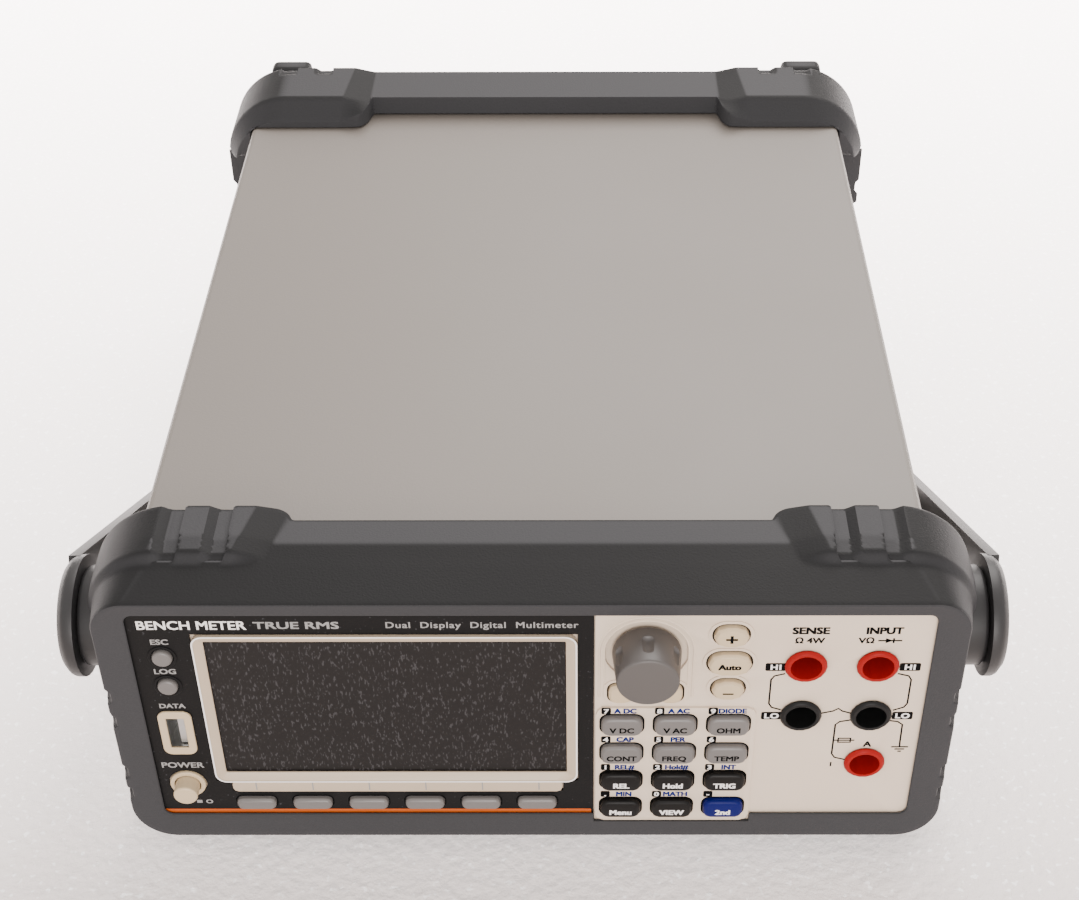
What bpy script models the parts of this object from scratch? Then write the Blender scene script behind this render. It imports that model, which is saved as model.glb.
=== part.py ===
"""A bench digital multimeter: a steel case between two rubber bumpers, a carrying handle that also
tilts it, a display with its keys, and five test lead sockets. Run in Blender 4.5.

Sizes are in millimetres, and MM turns them into Blender's metres where a mesh is made. +Z is up,
the front faces -Y, and the origin is at the bottom centre of the whole instrument.
"""

import math

import bmesh
import bpy
from mathutils import Matrix, Vector

MM = 0.001

# Overall sizes
DEPTH = 302.0  # front ridge of the bumper to the feet on the rear bumper
CASE_WIDTH = 215.0
KNOB_TO_TOP = 14.3
CASE_BOTTOM = 9.5  # height of the case above the bench
FIT = 0.3  # gap between pieces that touch
SHEET = 1.0  # steel of the cover
TRAY = 1.2  # steel of the tray

# Front panel
PANEL_THICK = 3.0
LIP_PROUD = 1.5  # how far the bumper's front ridge stands before the panel
FASCIA_THICK = 0.8
POCKET = FASCIA_THICK + FIT
DIVIDER_FROM_RIGHT = 90.7  # edge between the black fascia and the pale half
POD_PROUD = 0.8  # raised field that holds the keypad
POD_MARGIN = 6.2  # from the outer rows of keys to the field's edges

# Display
SCREEN_FROM_LEFT = 18.3
SCREEN_WIDTH = 101.1
SCREEN_HEIGHT = 57.0
SCREEN_LIFT = 22.8  # bottom of the screen's frame above the case's bottom
BEZEL_SLOPE = 2.8
BEZEL_PROUD = 0.8
STRIP_HEIGHT = 4.2  # lower step of the frame, over the soft keys
STRIP_INSET = 4.2
WINDOW_THICK = 1.5
WINDOW_LAP = 1.5  # how far the window reaches behind its frame

# Keys
KEY_TRAVEL = 1.2
KEY_GAP = 0.35
KEY_FLANGE = 0.7
KEY_FLANGE_THICK = 1.0
KEY_PROUD = 2.6
KEY_WIDTH, KEY_HEIGHT, KEY_RADIUS = 11.3, 7.0, 2.2
KEY_PITCH_X, KEY_PITCH_Z = 14.5, 11.35
KEYPAD_FROM_RIGHT = 83.3  # centre of the first column
KEYPAD_LIFT = 12.6  # centre of the bottom row
SOFT_WIDTH, SOFT_HEIGHT, SOFT_RADIUS = 11.1, 4.4, 1.6
SOFT_PITCH = 15.92
SOFT_COUNT = 6
SOFT_FROM_LEFT = 28.5
SOFT_LIFT = 13.8
SOFT_PROUD = 1.7
ROUND_RADIUS = 2.75
ROUND_PROUD = 1.4
COLUMN_FROM_LEFT = 9.9  # line of the two round keys, the USB socket and the power button
ROUND_LIFTS = (61.0, 71.8)
RANGE_FROM_RIGHT = 55.1
RANGE_SIZES = ((-13.6, 8.8, 6.8), (-3.9, 11.6, 7.8), (6.3, 9.2, 7.0))  # above the knob, width, height
RANGE_PROUD = 1.9
ARROW_WIDTH, ARROW_HEIGHT, ARROW_RADIUS = 6.4, 6.8, 2.2
ARROW_FROM_KNOB = 6.75
ARROW_OVER_KEYPAD = 11.75  # above the keypad's top row
ARROW_PROUD = 1.6

# Knob and its encoder
KNOB_FROM_RIGHT = 77.1
KNOB_OVER_ARROWS = 15.3
KNOB_BASE_RADIUS = 9.25
KNOB_FACE_RADIUS = 8.2
KNOB_PROUD = 11.6
KNOB_RECESS_RADIUS = 11.4
KNOB_RECESS = 1.0
KNOB_PUSH = 0.6
KNOB_SKIRT = 1.2  # height of the straight foot of the knob
KNOB_GAP = 0.3  # between a pressed knob and its recess
KNOB_FLUTES, FLUTE_RADIUS, FLUTE_OUTSET = 6, 3.2, 2.4
KNOB_FACE_THICK = 3.0
SHAFT_RADIUS = 2.7
ROTOR_RADIUS = 4.4
ENCODER_SIZE = 12.4
ENCODER_FRONT, ENCODER_REAR = 1.0, 1.2  # housing walls before and behind the rotor

# Test lead sockets
SOCKET_PITCH = 19.05
SOCKET_FROM_RIGHT = 15.75
SOCKET_LIFT = 30.5
SOCKET_FLANGE_RADIUS = 5.7
SOCKET_BODY_RADIUS = 5.1
SOCKET_BORE_RADIUS = 4.2
SOCKET_PROUD = 1.3
SOCKET_LENGTH = 16.0
CONTACT_RADIUS = 2.5
CONTACT_BORE = 2.0
CONTACT_SETBACK = 5.5

# Power button and front USB socket
POWER_LIFT = 21.5
POWER_RADIUS = 3.4
POWER_PROUD = 5.0
POWER_TRAVEL = 3.5
POWER_RING_RADIUS = 5.05
POWER_RING_PROUD = 0.7
SWITCH_SIZE = (10.0, 16.0, 12.0)
USB_LIFT = 42.7
USB_SLOT_WIDTH, USB_SLOT_HEIGHT = 5.3, 11.9
USB_WALL = 0.6
USB_DEPTH = 14.0
USB_SETBACK = 0.2

# Bumpers: lengths along the case, and distances outside it
FRONT_SLOPE = 20.2  # from the front ridge back to the flat band
FRONT_BAND = 9.3
REAR_SLOPE = 9.3
REAR_BAND_LENGTH = 20.2
REAR_FEET = 6.5  # how far the rear feet stand behind the rear ridge
FRONT_SIDE, REAR_SIDE = 11.7, 9.7
BAND_TOP, BAND_BOTTOM = 7.5, 5.3
RIDGE_DROP_SIDE, RIDGE_DROP = 4.6, 3.6  # how far the ridges lie inside the bands
REAR_RIDGE_DROP = 4.9  # the same for the rear ridge's top
CORNER_TOP, CORNER_BOTTOM = 22.0, 15.0
RIDGE_CORNER = 9.5
OPENING_SIDE, OPENING_TOP, OPENING_BOTTOM = 1.9, 0.4, 9.3  # front lip over the panel's edges
OPENING_CORNER = 2.5
REAR_LIP = 4.0
LIP_THICK = 1.2
PAD_PROUD = 2.0
PAD_SIDE_PROUD = 1.0
PAD_EDGE = 2.4  # length of the bevel round a pad
PAD_START = 12.8  # front edge of the front pads behind the ridge
PAD_TAIL = 6.3  # slope behind the front pads
PAD_OVERHANG = 3.7  # how far the front pads reach behind their band, before that slope
REAR_PAD_REACH = 10.0  # front edge of the rear pads before the rear bumper's band
PAD_INNER = 75.0  # inner edge of a pad's top
PAD_FOOT = 64.5  # inner edge of its widest foot
PAD_SIDE_DROP = 13.5  # how far the pads come down the sides below the case's top
FOOT_RISE = 12.0  # how far the lower pads come up the sides
GROOVES = (84.05, 97.1)  # centres of the two grooves from the middle
GROOVE_WIDTH, GROOVE_DEPTH = 5.5, 1.4
SIDE_GROOVES = (18.5, 27.5, 48.0, 57.5)  # above the case's bottom
SIDE_GROOVE_WIDTH, SIDE_GROOVE_DEPTH = 4.5, 1.2
REAR_FOOT_INNER, REAR_FOOT_OUTER = 90.0, 105.0
REAR_FOOT_HEIGHT = 14.0
REAR_FOOT_OVER = 4.5  # how far the rear feet reach past the case, above and below

# Handle
HUB_BEHIND_RIDGE = 26.5
HUB_LIFT = 63.0
HUB_RADIUS = 14.0
DISC_RADIUS = 17.0
DISC_THICK = 4.6
HUB_END = 16.1  # outer face of the hub from the case's side
STUB_RADIUS = 5.0
STUB_LENGTH = 3.0
ARM_LENGTH = 144.0
ARM_THICK = 3.2
ARM_WIDE, ARM_NARROW = 34.0, 26.0
ARM_TIP = 8.0  # how far the arms run past the bar
BAR_THICK = 6.6
BAR_WIDE = 20.0
BAR_CLEAR = 1.6  # gap between the stowed bar and the case

# Rear panel and its sockets
REAR_PLATE = 1.5
REAR_RECESS = 1.5  # rear panel's face before the ridge
INLET_FROM_RIGHT = 34.0
INLET_LIFT = 36.0
INLET_WIDTH, INLET_HEIGHT, INLET_PROUD = 31.0, 34.0, 1.2
INLET_CAVITY = (24.4, 16.8, 15.0)  # width, height, depth
DRAWER_WIDTH, DRAWER_HEIGHT, DRAWER_DEPTH = 22.0, 7.0, 14.0
INLET_PINS = ((-7.0, -1.5), (7.0, -1.5), (0.0, 2.5))  # from the middle of the cavity
PIN_HALF_WIDTH, PIN_HALF_HEIGHT, PIN_SETBACK = 1.0, 2.2, 5.0
LAN_FROM_LEFT = 34.0
LAN_CAVITY = (12.0, 9.0, 10.0)
DEVICE_FROM_LEFT = 62.0
DEVICE_CAVITY = (8.5, 7.8, 9.0)
REAR_SOCKET_LIFT = 26.0
SOCKET_WALL = 1.6

# Inside
BOARD = 1.6
MAT_THICK = 1.5
LCD_THICK = 4.6
MAT_TO_BOARD = 1.7
BOARD_MARGIN = 9.7  # from the outer sockets' axes to their board's edges
CLEAR_INSIDE = 2.0  # gap between the boards and the case
MAIN_BOARD_LIFT = 8.0
BOARD_PARTS = (  # tall parts on the main board: name, across, along from the board's front, height
    ("shield", (20.0, 75.0), (20.0, 90.0), 16.0),
    ("heat_sink", (-40.0, -30.0), (60.0, 120.0), 26.0),
    ("capacitor", (-20.0, -2.0), (150.0, 172.0), 30.0),
)

# Planes and lines worked out from the sizes
RIGHT = CASE_WIDTH / 2
LEFT = -RIGHT
ARROW_LIFT = KEYPAD_LIFT + 3 * KEY_PITCH_Z + ARROW_OVER_KEYPAD
KNOB_LIFT = ARROW_LIFT + KNOB_OVER_ARROWS
CASE_HEIGHT = KNOB_LIFT + KNOB_TO_TOP
TOP = CASE_BOTTOM + CASE_HEIGHT
KNOB_REACH = KNOB_PROUD - LIP_PROUD  # how far the knob stands before the front ridge
BACK = (DEPTH + KNOB_REACH) / 2
FRONT = BACK - DEPTH
PANEL = FRONT + LIP_PROUD
PANEL_BACK = PANEL + PANEL_THICK
REAR_RIDGE = BACK - REAR_FEET
REAR_FACE = REAR_RIDGE - REAR_RECESS
REAR_PLATE_FRONT = REAR_FACE - REAR_PLATE
REAR_CREASE = REAR_RIDGE - REAR_SLOPE
REAR_BAND = REAR_CREASE - REAR_BAND_LENGTH
BAND = FRONT + FRONT_SLOPE
PAD_TOP = TOP + BAND_TOP + PAD_PROUD
FLANGE_BACK = PANEL_BACK + FIT + KEY_FLANGE_THICK
MAT_FRONT = FLANGE_BACK + KEY_TRAVEL + FIT
FRONT_BOARD = MAT_FRONT + MAT_THICK + MAT_TO_BOARD
DIVIDER = RIGHT - DIVIDER_FROM_RIGHT
KNOB_X = RIGHT - KNOB_FROM_RIGHT
KNOB_Z = CASE_BOTTOM + KNOB_LIFT
COLUMN_X = LEFT + COLUMN_FROM_LEFT
POWER_Z = CASE_BOTTOM + POWER_LIFT
USB_Z = CASE_BOTTOM + USB_LIFT
SCREEN_LEFT = LEFT + SCREEN_FROM_LEFT
SCREEN_RIGHT = SCREEN_LEFT + SCREEN_WIDTH
SCREEN_BOTTOM = CASE_BOTTOM + SCREEN_LIFT
SCREEN_TOP = SCREEN_BOTTOM + SCREEN_HEIGHT
HUB_Y = FRONT + HUB_BEHIND_RIDGE
HUB_Z = CASE_BOTTOM + HUB_LIFT
BAR_TOP = CASE_BOTTOM - BAR_CLEAR
BAR_Z = BAR_TOP - BAR_THICK / 2
ARM_ANGLE = math.asin((HUB_Z - BAR_Z) / ARM_LENGTH)
BAR_Y = HUB_Y + ARM_LENGTH * math.cos(ARM_ANGLE)

PARTS = bpy.data.collections.new("bench_multimeter")
CUTTERS = bpy.data.collections.new("cutters")


def clear_scene():
    """Start from an empty scene with one collection for the parts and one for the cutters."""
    for old in list(bpy.data.objects):
        bpy.data.objects.remove(old, do_unlink=True)
    bpy.context.scene.collection.children.link(PARTS)
    bpy.context.scene.collection.children.link(CUTTERS)


def material(name, colour, roughness, metallic=0.0):
    """A Principled BSDF with one colour, kept by name so that like pieces share it."""
    found = bpy.data.materials.get(name)
    if found:
        return found
    made = bpy.data.materials.new(name)
    made.use_nodes = True
    shader = made.node_tree.nodes["Principled BSDF"]
    shader.inputs["Base Color"].default_value = (*colour, 1.0)
    shader.inputs["Roughness"].default_value = roughness
    shader.inputs["Metallic"].default_value = metallic
    return made


def rubber():
    return material("bumper_rubber", (0.10, 0.10, 0.10), 0.7)


def handle_plastic():
    return material("handle_plastic", (0.08, 0.08, 0.085), 0.45)


def case_paint():
    return material("case_paint", (0.43, 0.42, 0.38), 0.5)


def pale_plastic():
    return material("pale_plastic", (0.78, 0.71, 0.64), 0.45)


def cream_plastic():
    return material("cream_plastic", (0.74, 0.66, 0.54), 0.4)


def grey_key():
    return material("grey_key", (0.33, 0.32, 0.31), 0.5)


def steel():
    return material("steel", (0.6, 0.6, 0.6), 0.35, 1.0)


def black_plastic():
    return material("black_plastic", (0.02, 0.02, 0.02), 0.4)


def board_green():
    return material("circuit_board", (0.02, 0.16, 0.07), 0.4)


def new_object(name, bm, made_of, collection=PARTS):
    """Close a bmesh drawn in millimetres into an object in metres, with its faces pointing out."""
    bmesh.ops.recalc_face_normals(bm, faces=bm.faces)
    bmesh.ops.scale(bm, vec=(MM, MM, MM), verts=bm.verts)
    mesh = bpy.data.meshes.new(name)
    bm.to_mesh(mesh)
    bm.free()
    made = bpy.data.objects.new(name, mesh)
    collection.objects.link(made)
    if made_of:
        mesh.materials.append(made_of)
    return made


def place_origin(obj, point):
    """Move the object's origin to a point in millimetres and leave its shape where it is."""
    offset = Vector(point) * MM
    obj.data.transform(Matrix.Translation(-offset))
    obj.location = offset


def add_box(bm, x, y, z):
    """A box between two values on each axis."""
    size = Matrix.Diagonal((x[1] - x[0], y[1] - y[0], z[1] - z[0], 1.0))
    middle = Matrix.Translation(((x[0] + x[1]) / 2, (y[0] + y[1]) / 2, (z[0] + z[1]) / 2))
    return bmesh.ops.create_cube(bm, size=1.0, matrix=middle @ size)["verts"]


def add_rounded(bm, x, y, z, radius, segments=2):
    """A box whose four edges along Y are rounded."""
    verts = add_box(bm, x, y, z)
    edges = {edge for vert in verts for edge in vert.link_edges}
    along = [e for e in edges if abs(e.verts[0].co.y - e.verts[1].co.y) > (y[1] - y[0]) / 2]
    bmesh.ops.bevel(bm, geom=along, offset=radius, segments=segments, profile=0.5, affect="EDGES")


def add_cylinder(bm, x, y, z, radius, segments=24, axis="Y"):
    """A cylinder along Y, given its centre and two ends, or along X with the ends in x."""
    if axis == "Y":
        length, middle = y[1] - y[0], Vector((x, (y[0] + y[1]) / 2, z))
        turn = Matrix.Rotation(math.radians(90), 4, "X")
    else:
        length, middle = x[1] - x[0], Vector(((x[0] + x[1]) / 2, y, z))
        turn = Matrix.Rotation(math.radians(90), 4, "Y")
    bmesh.ops.create_cone(
        bm, cap_ends=True, segments=segments, radius1=radius, radius2=radius, depth=length,
        matrix=Matrix.Translation(middle) @ turn,
    )


def outline(x, z, bottom_radius, top_radius, steps=4):
    """Points round a rectangle with rounded corners, each corner an arc of steps parts."""
    corners = (
        (x[1], z[0], bottom_radius, -90.0), (x[1], z[1], top_radius, 0.0),
        (x[0], z[1], top_radius, 90.0), (x[0], z[0], bottom_radius, 180.0),
    )
    points = []
    for corner_x, corner_z, radius, start in corners:
        centre_x = corner_x - math.copysign(radius, corner_x - (x[0] + x[1]) / 2)
        centre_z = corner_z - math.copysign(radius, corner_z - (z[0] + z[1]) / 2)
        for step in range(steps + 1):
            angle = math.radians(start + 90.0 * step / steps)
            points.append((centre_x + radius * math.cos(angle), centre_z + radius * math.sin(angle)))
    return points


def add_loft(bm, sections, closed=False):
    """Join sections, each (y, points), by quads. A closed loft is a ring, an open one is capped."""
    rings = [[bm.verts.new((px, y, pz)) for px, pz in points] for y, points in sections]
    pairs = list(zip(rings, rings[1:]))
    if closed:
        pairs.append((rings[-1], rings[0]))
    for first, second in pairs:
        for i in range(len(first)):
            j = (i + 1) % len(first)
            bm.faces.new((first[i], first[j], second[j], second[i]))
    if not closed:
        bm.faces.new(rings[0])
        bm.faces.new(rings[-1])


def boolean(obj, tool, operation="DIFFERENCE"):
    """Cut one object with another, or join the other to it, and keep the tool out of the model."""
    modifier = obj.modifiers.new(tool.name, "BOOLEAN")
    modifier.operation = operation
    modifier.solver = "EXACT"
    modifier.object = tool
    tool.hide_render = True
    tool.display_type = "WIRE"


def tool_of(obj, name, bm, operation="DIFFERENCE"):
    boolean(obj, new_object(name, bm, None, CUTTERS), operation)


def turned(name, profile, made_of, place, closed=False, segments=24, turn=(math.radians(90), 0.0, 0.0)):
    """A turned piece from (radius, height) points that start at the top and run down the outside.

    Its axis points to -Y, or where turn takes it. A closed profile makes a tube.
    """
    bm = bmesh.new()
    verts = [bm.verts.new((radius, 0.0, height)) for radius, height in profile]
    for first, second in zip(verts, verts[1:]):
        bm.edges.new((first, second))
    if closed:
        bm.edges.new((verts[-1], verts[0]))
    bmesh.ops.scale(bm, vec=(MM, MM, MM), verts=bm.verts)
    mesh = bpy.data.meshes.new(name)
    bm.to_mesh(mesh)
    bm.free()
    made = bpy.data.objects.new(name, mesh)
    PARTS.objects.link(made)
    screw = made.modifiers.new("turn", "SCREW")
    screw.axis = "Z"
    screw.steps = segments
    screw.render_steps = segments
    screw.use_merge_vertices = True
    screw.merge_threshold = 0.00001
    screw.use_smooth_shade = True
    made.location = Vector(place) * MM
    made.rotation_euler = turn
    mesh.materials.append(made_of)
    return made


def key(name, centre, size, radius, proud, made_of):
    """A key cap with a chamfered face, and a flange that keeps it behind the panel."""
    x, z = centre
    half_w, half_h = size[0] / 2, size[1] / 2
    chamfer = min(0.7, radius / 2)

    def section(grow):
        corner = max(radius + grow, 0.2)
        return outline(
            (x - half_w - grow, x + half_w + grow), (z - half_h - grow, z + half_h + grow), corner, corner, 2
        )

    bm = bmesh.new()
    flange = KEY_GAP + KEY_FLANGE
    add_loft(bm, (
        (PANEL - proud, section(-chamfer)), (PANEL - proud + chamfer, section(0.0)),
        (PANEL_BACK + FIT, section(0.0)), (PANEL_BACK + FIT, section(flange)), (FLANGE_BACK, section(flange)),
    ))
    made = new_object(name, bm, made_of)
    place_origin(made, (x, PANEL - proud, z))
    return made


def key_places():
    """Every rectangular key as (name, centre, size, radius, proud, material)."""
    places = []
    dark = material("dark_key", (0.06, 0.055, 0.05), 0.5)
    shift = material("shift_key", (0.01, 0.05, 0.38), 0.45)
    for row in range(4):
        for column in range(3):
            centre = (
                RIGHT - KEYPAD_FROM_RIGHT + KEY_PITCH_X * column,
                CASE_BOTTOM + KEYPAD_LIFT + KEY_PITCH_Z * row,
            )
            made_of = grey_key() if row > 1 else dark
            if (row, column) == (0, 2):
                made_of = shift
            name = f"keypad_key_{4 - row}_{column + 1}"
            places.append((name, centre, (KEY_WIDTH, KEY_HEIGHT), KEY_RADIUS, KEY_PROUD, made_of))
    for i in range(SOFT_COUNT):
        centre = (LEFT + SOFT_FROM_LEFT + SOFT_PITCH * i, CASE_BOTTOM + SOFT_LIFT)
        size = (SOFT_WIDTH, SOFT_HEIGHT)
        places.append((f"soft_key_{i + 1}", centre, size, SOFT_RADIUS, SOFT_PROUD, grey_key()))
    for name, (above, width, height) in zip(("range_down_key", "auto_key", "range_up_key"), RANGE_SIZES):
        centre = (RIGHT - RANGE_FROM_RIGHT, KNOB_Z + above)
        places.append((name, centre, (width, height), height * 0.48, RANGE_PROUD, cream_plastic()))
    for name, side in (("left_arrow_key", -1), ("right_arrow_key", 1)):
        centre = (KNOB_X + side * ARROW_FROM_KNOB, CASE_BOTTOM + ARROW_LIFT)
        size = (ARROW_WIDTH, ARROW_HEIGHT)
        places.append((name, centre, size, ARROW_RADIUS, ARROW_PROUD, cream_plastic()))
    return places


def keys():
    """The 23 rectangular keys and the two round ones, each free to be pressed."""
    for place in key_places():
        key(*place)
    flange = ROUND_RADIUS + KEY_GAP + KEY_FLANGE
    for name, lift in zip(("log_key", "escape_key"), ROUND_LIFTS):
        back = PANEL_BACK + FIT - PANEL
        profile = (
            (0.0, ROUND_PROUD), (ROUND_RADIUS - 0.5, ROUND_PROUD), (ROUND_RADIUS, ROUND_PROUD - 0.5),
            (ROUND_RADIUS, -back), (flange, -back), (flange, -back - KEY_FLANGE_THICK),
            (0.0, -back - KEY_FLANGE_THICK),
        )
        turned(name, profile, grey_key(), (COLUMN_X, PANEL, CASE_BOTTOM + lift), segments=20)


def socket_places():
    """Each test lead socket as (name, x, z, material)."""
    red = material("socket_red", (0.60, 0.035, 0.02), 0.35)
    outer = RIGHT - SOCKET_FROM_RIGHT
    inner = outer - SOCKET_PITCH
    low = CASE_BOTTOM + SOCKET_LIFT
    return (
        ("sense_high_socket", inner, low + 2 * SOCKET_PITCH, red),
        ("input_high_socket", outer, low + 2 * SOCKET_PITCH, red),
        ("sense_low_socket", inner, low + SOCKET_PITCH, black_plastic()),
        ("input_low_socket", outer, low + SOCKET_PITCH, black_plastic()),
        ("current_socket", outer, low, red),
    )


def sockets():
    """Five insulating sleeves with a flange on the panel, wide at the mouth and narrow behind."""
    for name, x, z, made_of in socket_places():
        waist = -SOCKET_LENGTH / 2
        narrow = CONTACT_RADIUS + FIT
        profile = (
            (SOCKET_BORE_RADIUS, SOCKET_PROUD), (SOCKET_FLANGE_RADIUS - 0.6, SOCKET_PROUD),
            (SOCKET_FLANGE_RADIUS, SOCKET_PROUD - 0.6), (SOCKET_FLANGE_RADIUS, FIT),
            (SOCKET_BODY_RADIUS, FIT), (SOCKET_BODY_RADIUS, -SOCKET_LENGTH), (narrow, -SOCKET_LENGTH), (narrow, waist),
            (SOCKET_BORE_RADIUS, waist),
        )
        turned(name, profile, made_of, (x, PANEL, z), closed=True, segments=18)


def input_board():
    """The board behind the sockets, which carries one metal contact tube into each of them."""
    board_front = PANEL + SOCKET_LENGTH + FIT
    xs = [x for _, x, _, _ in socket_places()]
    zs = [z for _, _, z, _ in socket_places()]
    bm = bmesh.new()
    x = (min(xs) - BOARD_MARGIN, min(max(xs) + BOARD_MARGIN, RIGHT - SHEET - CLEAR_INSIDE))
    add_box(bm, x, (board_front, board_front + BOARD), (min(zs) - BOARD_MARGIN, max(zs) + BOARD_MARGIN))
    made = new_object("input_board", bm, board_green())
    for i, (_, x, z, _) in enumerate(socket_places()):
        bm = bmesh.new()
        add_cylinder(bm, x, (PANEL + CONTACT_SETBACK, board_front + BOARD / 2), z, CONTACT_RADIUS, 12)
        tool_of(made, f"contact_{i}", bm, "UNION")
    bm = bmesh.new()
    for _, x, z, _ in socket_places():
        add_cylinder(bm, x, (PANEL + CONTACT_SETBACK - 1.0, board_front - 1.0), z, CONTACT_BORE, 12)
    tool_of(made, "contact_bores", bm)


def front_panel():
    """The moulded panel: a pocket for the fascia, a raised keypad field, and a hole for every piece."""
    bm = bmesh.new()
    x, z = (LEFT + FIT, RIGHT - FIT), (CASE_BOTTOM + FIT, TOP - FIT)
    add_rounded(bm, x, (PANEL, PANEL_BACK), z, 2.0, 2)
    made = new_object("front_panel", bm, pale_plastic())

    bm = bmesh.new()
    pod_x = (DIVIDER + FIT, DIVIDER + FIT + 3 * KEY_PITCH_X)
    bottom_row = CASE_BOTTOM + KEYPAD_LIFT
    pod_z = (bottom_row - POD_MARGIN, bottom_row + 3 * KEY_PITCH_Z + POD_MARGIN)
    add_rounded(bm, pod_x, (PANEL - POD_PROUD, PANEL + 1.0), pod_z, 2.5)
    tool_of(made, "keypad_field", bm, "UNION")

    bm = bmesh.new()
    before, behind = PANEL - 3.0, PANEL_BACK + 1.0
    add_box(bm, (LEFT - 1.0, DIVIDER), (before, PANEL + POCKET), (CASE_BOTTOM - 1.0, TOP + 1.0))
    tool_of(made, "fascia_pocket", bm)

    bm = bmesh.new()
    add_cylinder(bm, KNOB_X, (before, PANEL + KNOB_RECESS), KNOB_Z, KNOB_RECESS_RADIUS, 32)
    tool_of(made, "knob_recess", bm)

    bm = bmesh.new()
    for _, (cx, cz), (width, height), radius, _, _ in key_places():
        half_w, half_h = width / 2 + KEY_GAP, height / 2 + KEY_GAP
        corner = radius + KEY_GAP
        add_rounded(bm, (cx - half_w, cx + half_w), (before, behind), (cz - half_h, cz + half_h), corner)
    for lift in ROUND_LIFTS:
        add_cylinder(bm, COLUMN_X, (before, behind), CASE_BOTTOM + lift, ROUND_RADIUS + KEY_GAP, 16)
    for _, cx, cz, _ in socket_places():
        add_cylinder(bm, cx, (before, behind), cz, SOCKET_BODY_RADIUS + FIT, 20)
    add_cylinder(bm, KNOB_X, (before, behind), KNOB_Z, SHAFT_RADIUS + 0.6, 16)
    add_cylinder(bm, COLUMN_X, (before, behind), POWER_Z, POWER_RADIUS + 2 * FIT, 20)
    half_w, half_h = USB_SLOT_WIDTH / 2 + USB_WALL + FIT, USB_SLOT_HEIGHT / 2 + USB_WALL + FIT
    add_box(bm, (COLUMN_X - half_w, COLUMN_X + half_w), (before, behind), (USB_Z - half_h, USB_Z + half_h))
    lap = BEZEL_SLOPE - WINDOW_LAP - FIT
    x, z = (SCREEN_LEFT + lap, SCREEN_RIGHT - lap), (SCREEN_BOTTOM + lap, SCREEN_TOP - lap)
    add_box(bm, x, (before, behind), z)
    tool_of(made, "panel_holes", bm)


def display_fascia():
    """The black overlay that fills the left of the panel, open for the screen and what is beside it."""
    bm = bmesh.new()
    x, z = (LEFT + 2 * FIT, DIVIDER - FIT), (CASE_BOTTOM + 2 * FIT, TOP - 2 * FIT)
    add_box(bm, x, (PANEL, PANEL + FASCIA_THICK), z)
    made = new_object("display_fascia", bm, material("fascia_black", (0.025, 0.025, 0.024), 0.45))
    before, behind = PANEL - 2.0, PANEL_BACK
    bm = bmesh.new()
    x, z = (SCREEN_LEFT - FIT, SCREEN_RIGHT + FIT), (SCREEN_BOTTOM - FIT, SCREEN_TOP + FIT)
    add_box(bm, x, (before, behind), z)
    tool_of(made, "screen_hole", bm)
    bm = bmesh.new()
    x = (SCREEN_LEFT + STRIP_INSET - FIT, SCREEN_RIGHT - STRIP_INSET + FIT)
    add_box(bm, x, (before, behind), (SCREEN_BOTTOM - STRIP_HEIGHT - FIT, SCREEN_BOTTOM + 1.0))
    tool_of(made, "strip_hole", bm)
    bm = bmesh.new()
    for name, (cx, cz), (width, height), radius, _, _ in key_places():
        if name.startswith("soft"):
            half_w, half_h = width / 2 + KEY_GAP, height / 2 + KEY_GAP
            x, z = (cx - half_w, cx + half_w), (cz - half_h, cz + half_h)
            add_rounded(bm, x, (before, behind), z, radius + KEY_GAP)
    for lift in ROUND_LIFTS:
        add_cylinder(bm, COLUMN_X, (before, behind), CASE_BOTTOM + lift, ROUND_RADIUS + KEY_GAP, 16)
    add_cylinder(bm, COLUMN_X, (before, behind), POWER_Z, POWER_RING_RADIUS + FIT, 24)
    half_w, half_h = USB_SLOT_WIDTH / 2 + USB_WALL + FIT, USB_SLOT_HEIGHT / 2 + USB_WALL + FIT
    add_box(bm, (COLUMN_X - half_w, COLUMN_X + half_w), (before, behind), (USB_Z - half_h, USB_Z + half_h))
    tool_of(made, "fascia_holes", bm)


def screen_bezel():
    """The pale frame that slopes in to the screen, with a lower step over the soft keys."""
    front, back = PANEL - BEZEL_PROUD, PANEL + FASCIA_THICK
    x, z = (SCREEN_LEFT, SCREEN_RIGHT), (SCREEN_BOTTOM, SCREEN_TOP)
    slope = BEZEL_SLOPE
    outer = outline(x, z, 3.0, 3.0, 3)
    inner = outline((x[0] + slope, x[1] - slope), (z[0] + slope, z[1] - slope), 0.4, 0.4, 3)
    bm = bmesh.new()
    add_loft(bm, ((front, outer), (back - 0.4, inner), (back, inner), (back, outer)), closed=True)
    made = new_object("screen_bezel", bm, pale_plastic())
    bm = bmesh.new()
    x = (SCREEN_LEFT + STRIP_INSET, SCREEN_RIGHT - STRIP_INSET)
    z = (SCREEN_BOTTOM - STRIP_HEIGHT, SCREEN_BOTTOM + 0.5)
    add_rounded(bm, x, (front + 0.2, back), z, 1.5)
    tool_of(made, "lower_step", bm, "UNION")


def display_window():
    """The clear window behind the frame, and the display module behind the panel."""
    inset = BEZEL_SLOPE - WINDOW_LAP
    x, z = (SCREEN_LEFT + inset, SCREEN_RIGHT - inset), (SCREEN_BOTTOM + inset, SCREEN_TOP - inset)
    front = PANEL + POCKET
    bm = bmesh.new()
    add_box(bm, x, (front, front + WINDOW_THICK), z)
    new_object("display_window", bm, material("window_glass", (0.03, 0.028, 0.028), 0.15))
    bm = bmesh.new()
    y = (PANEL_BACK + FIT, PANEL_BACK + FIT + LCD_THICK)
    add_box(bm, (x[0] - 1.0, x[1] + 1.0), y, (z[0] - 1.0, z[1] + 1.0))
    new_object("lcd_module", bm, steel())


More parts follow.
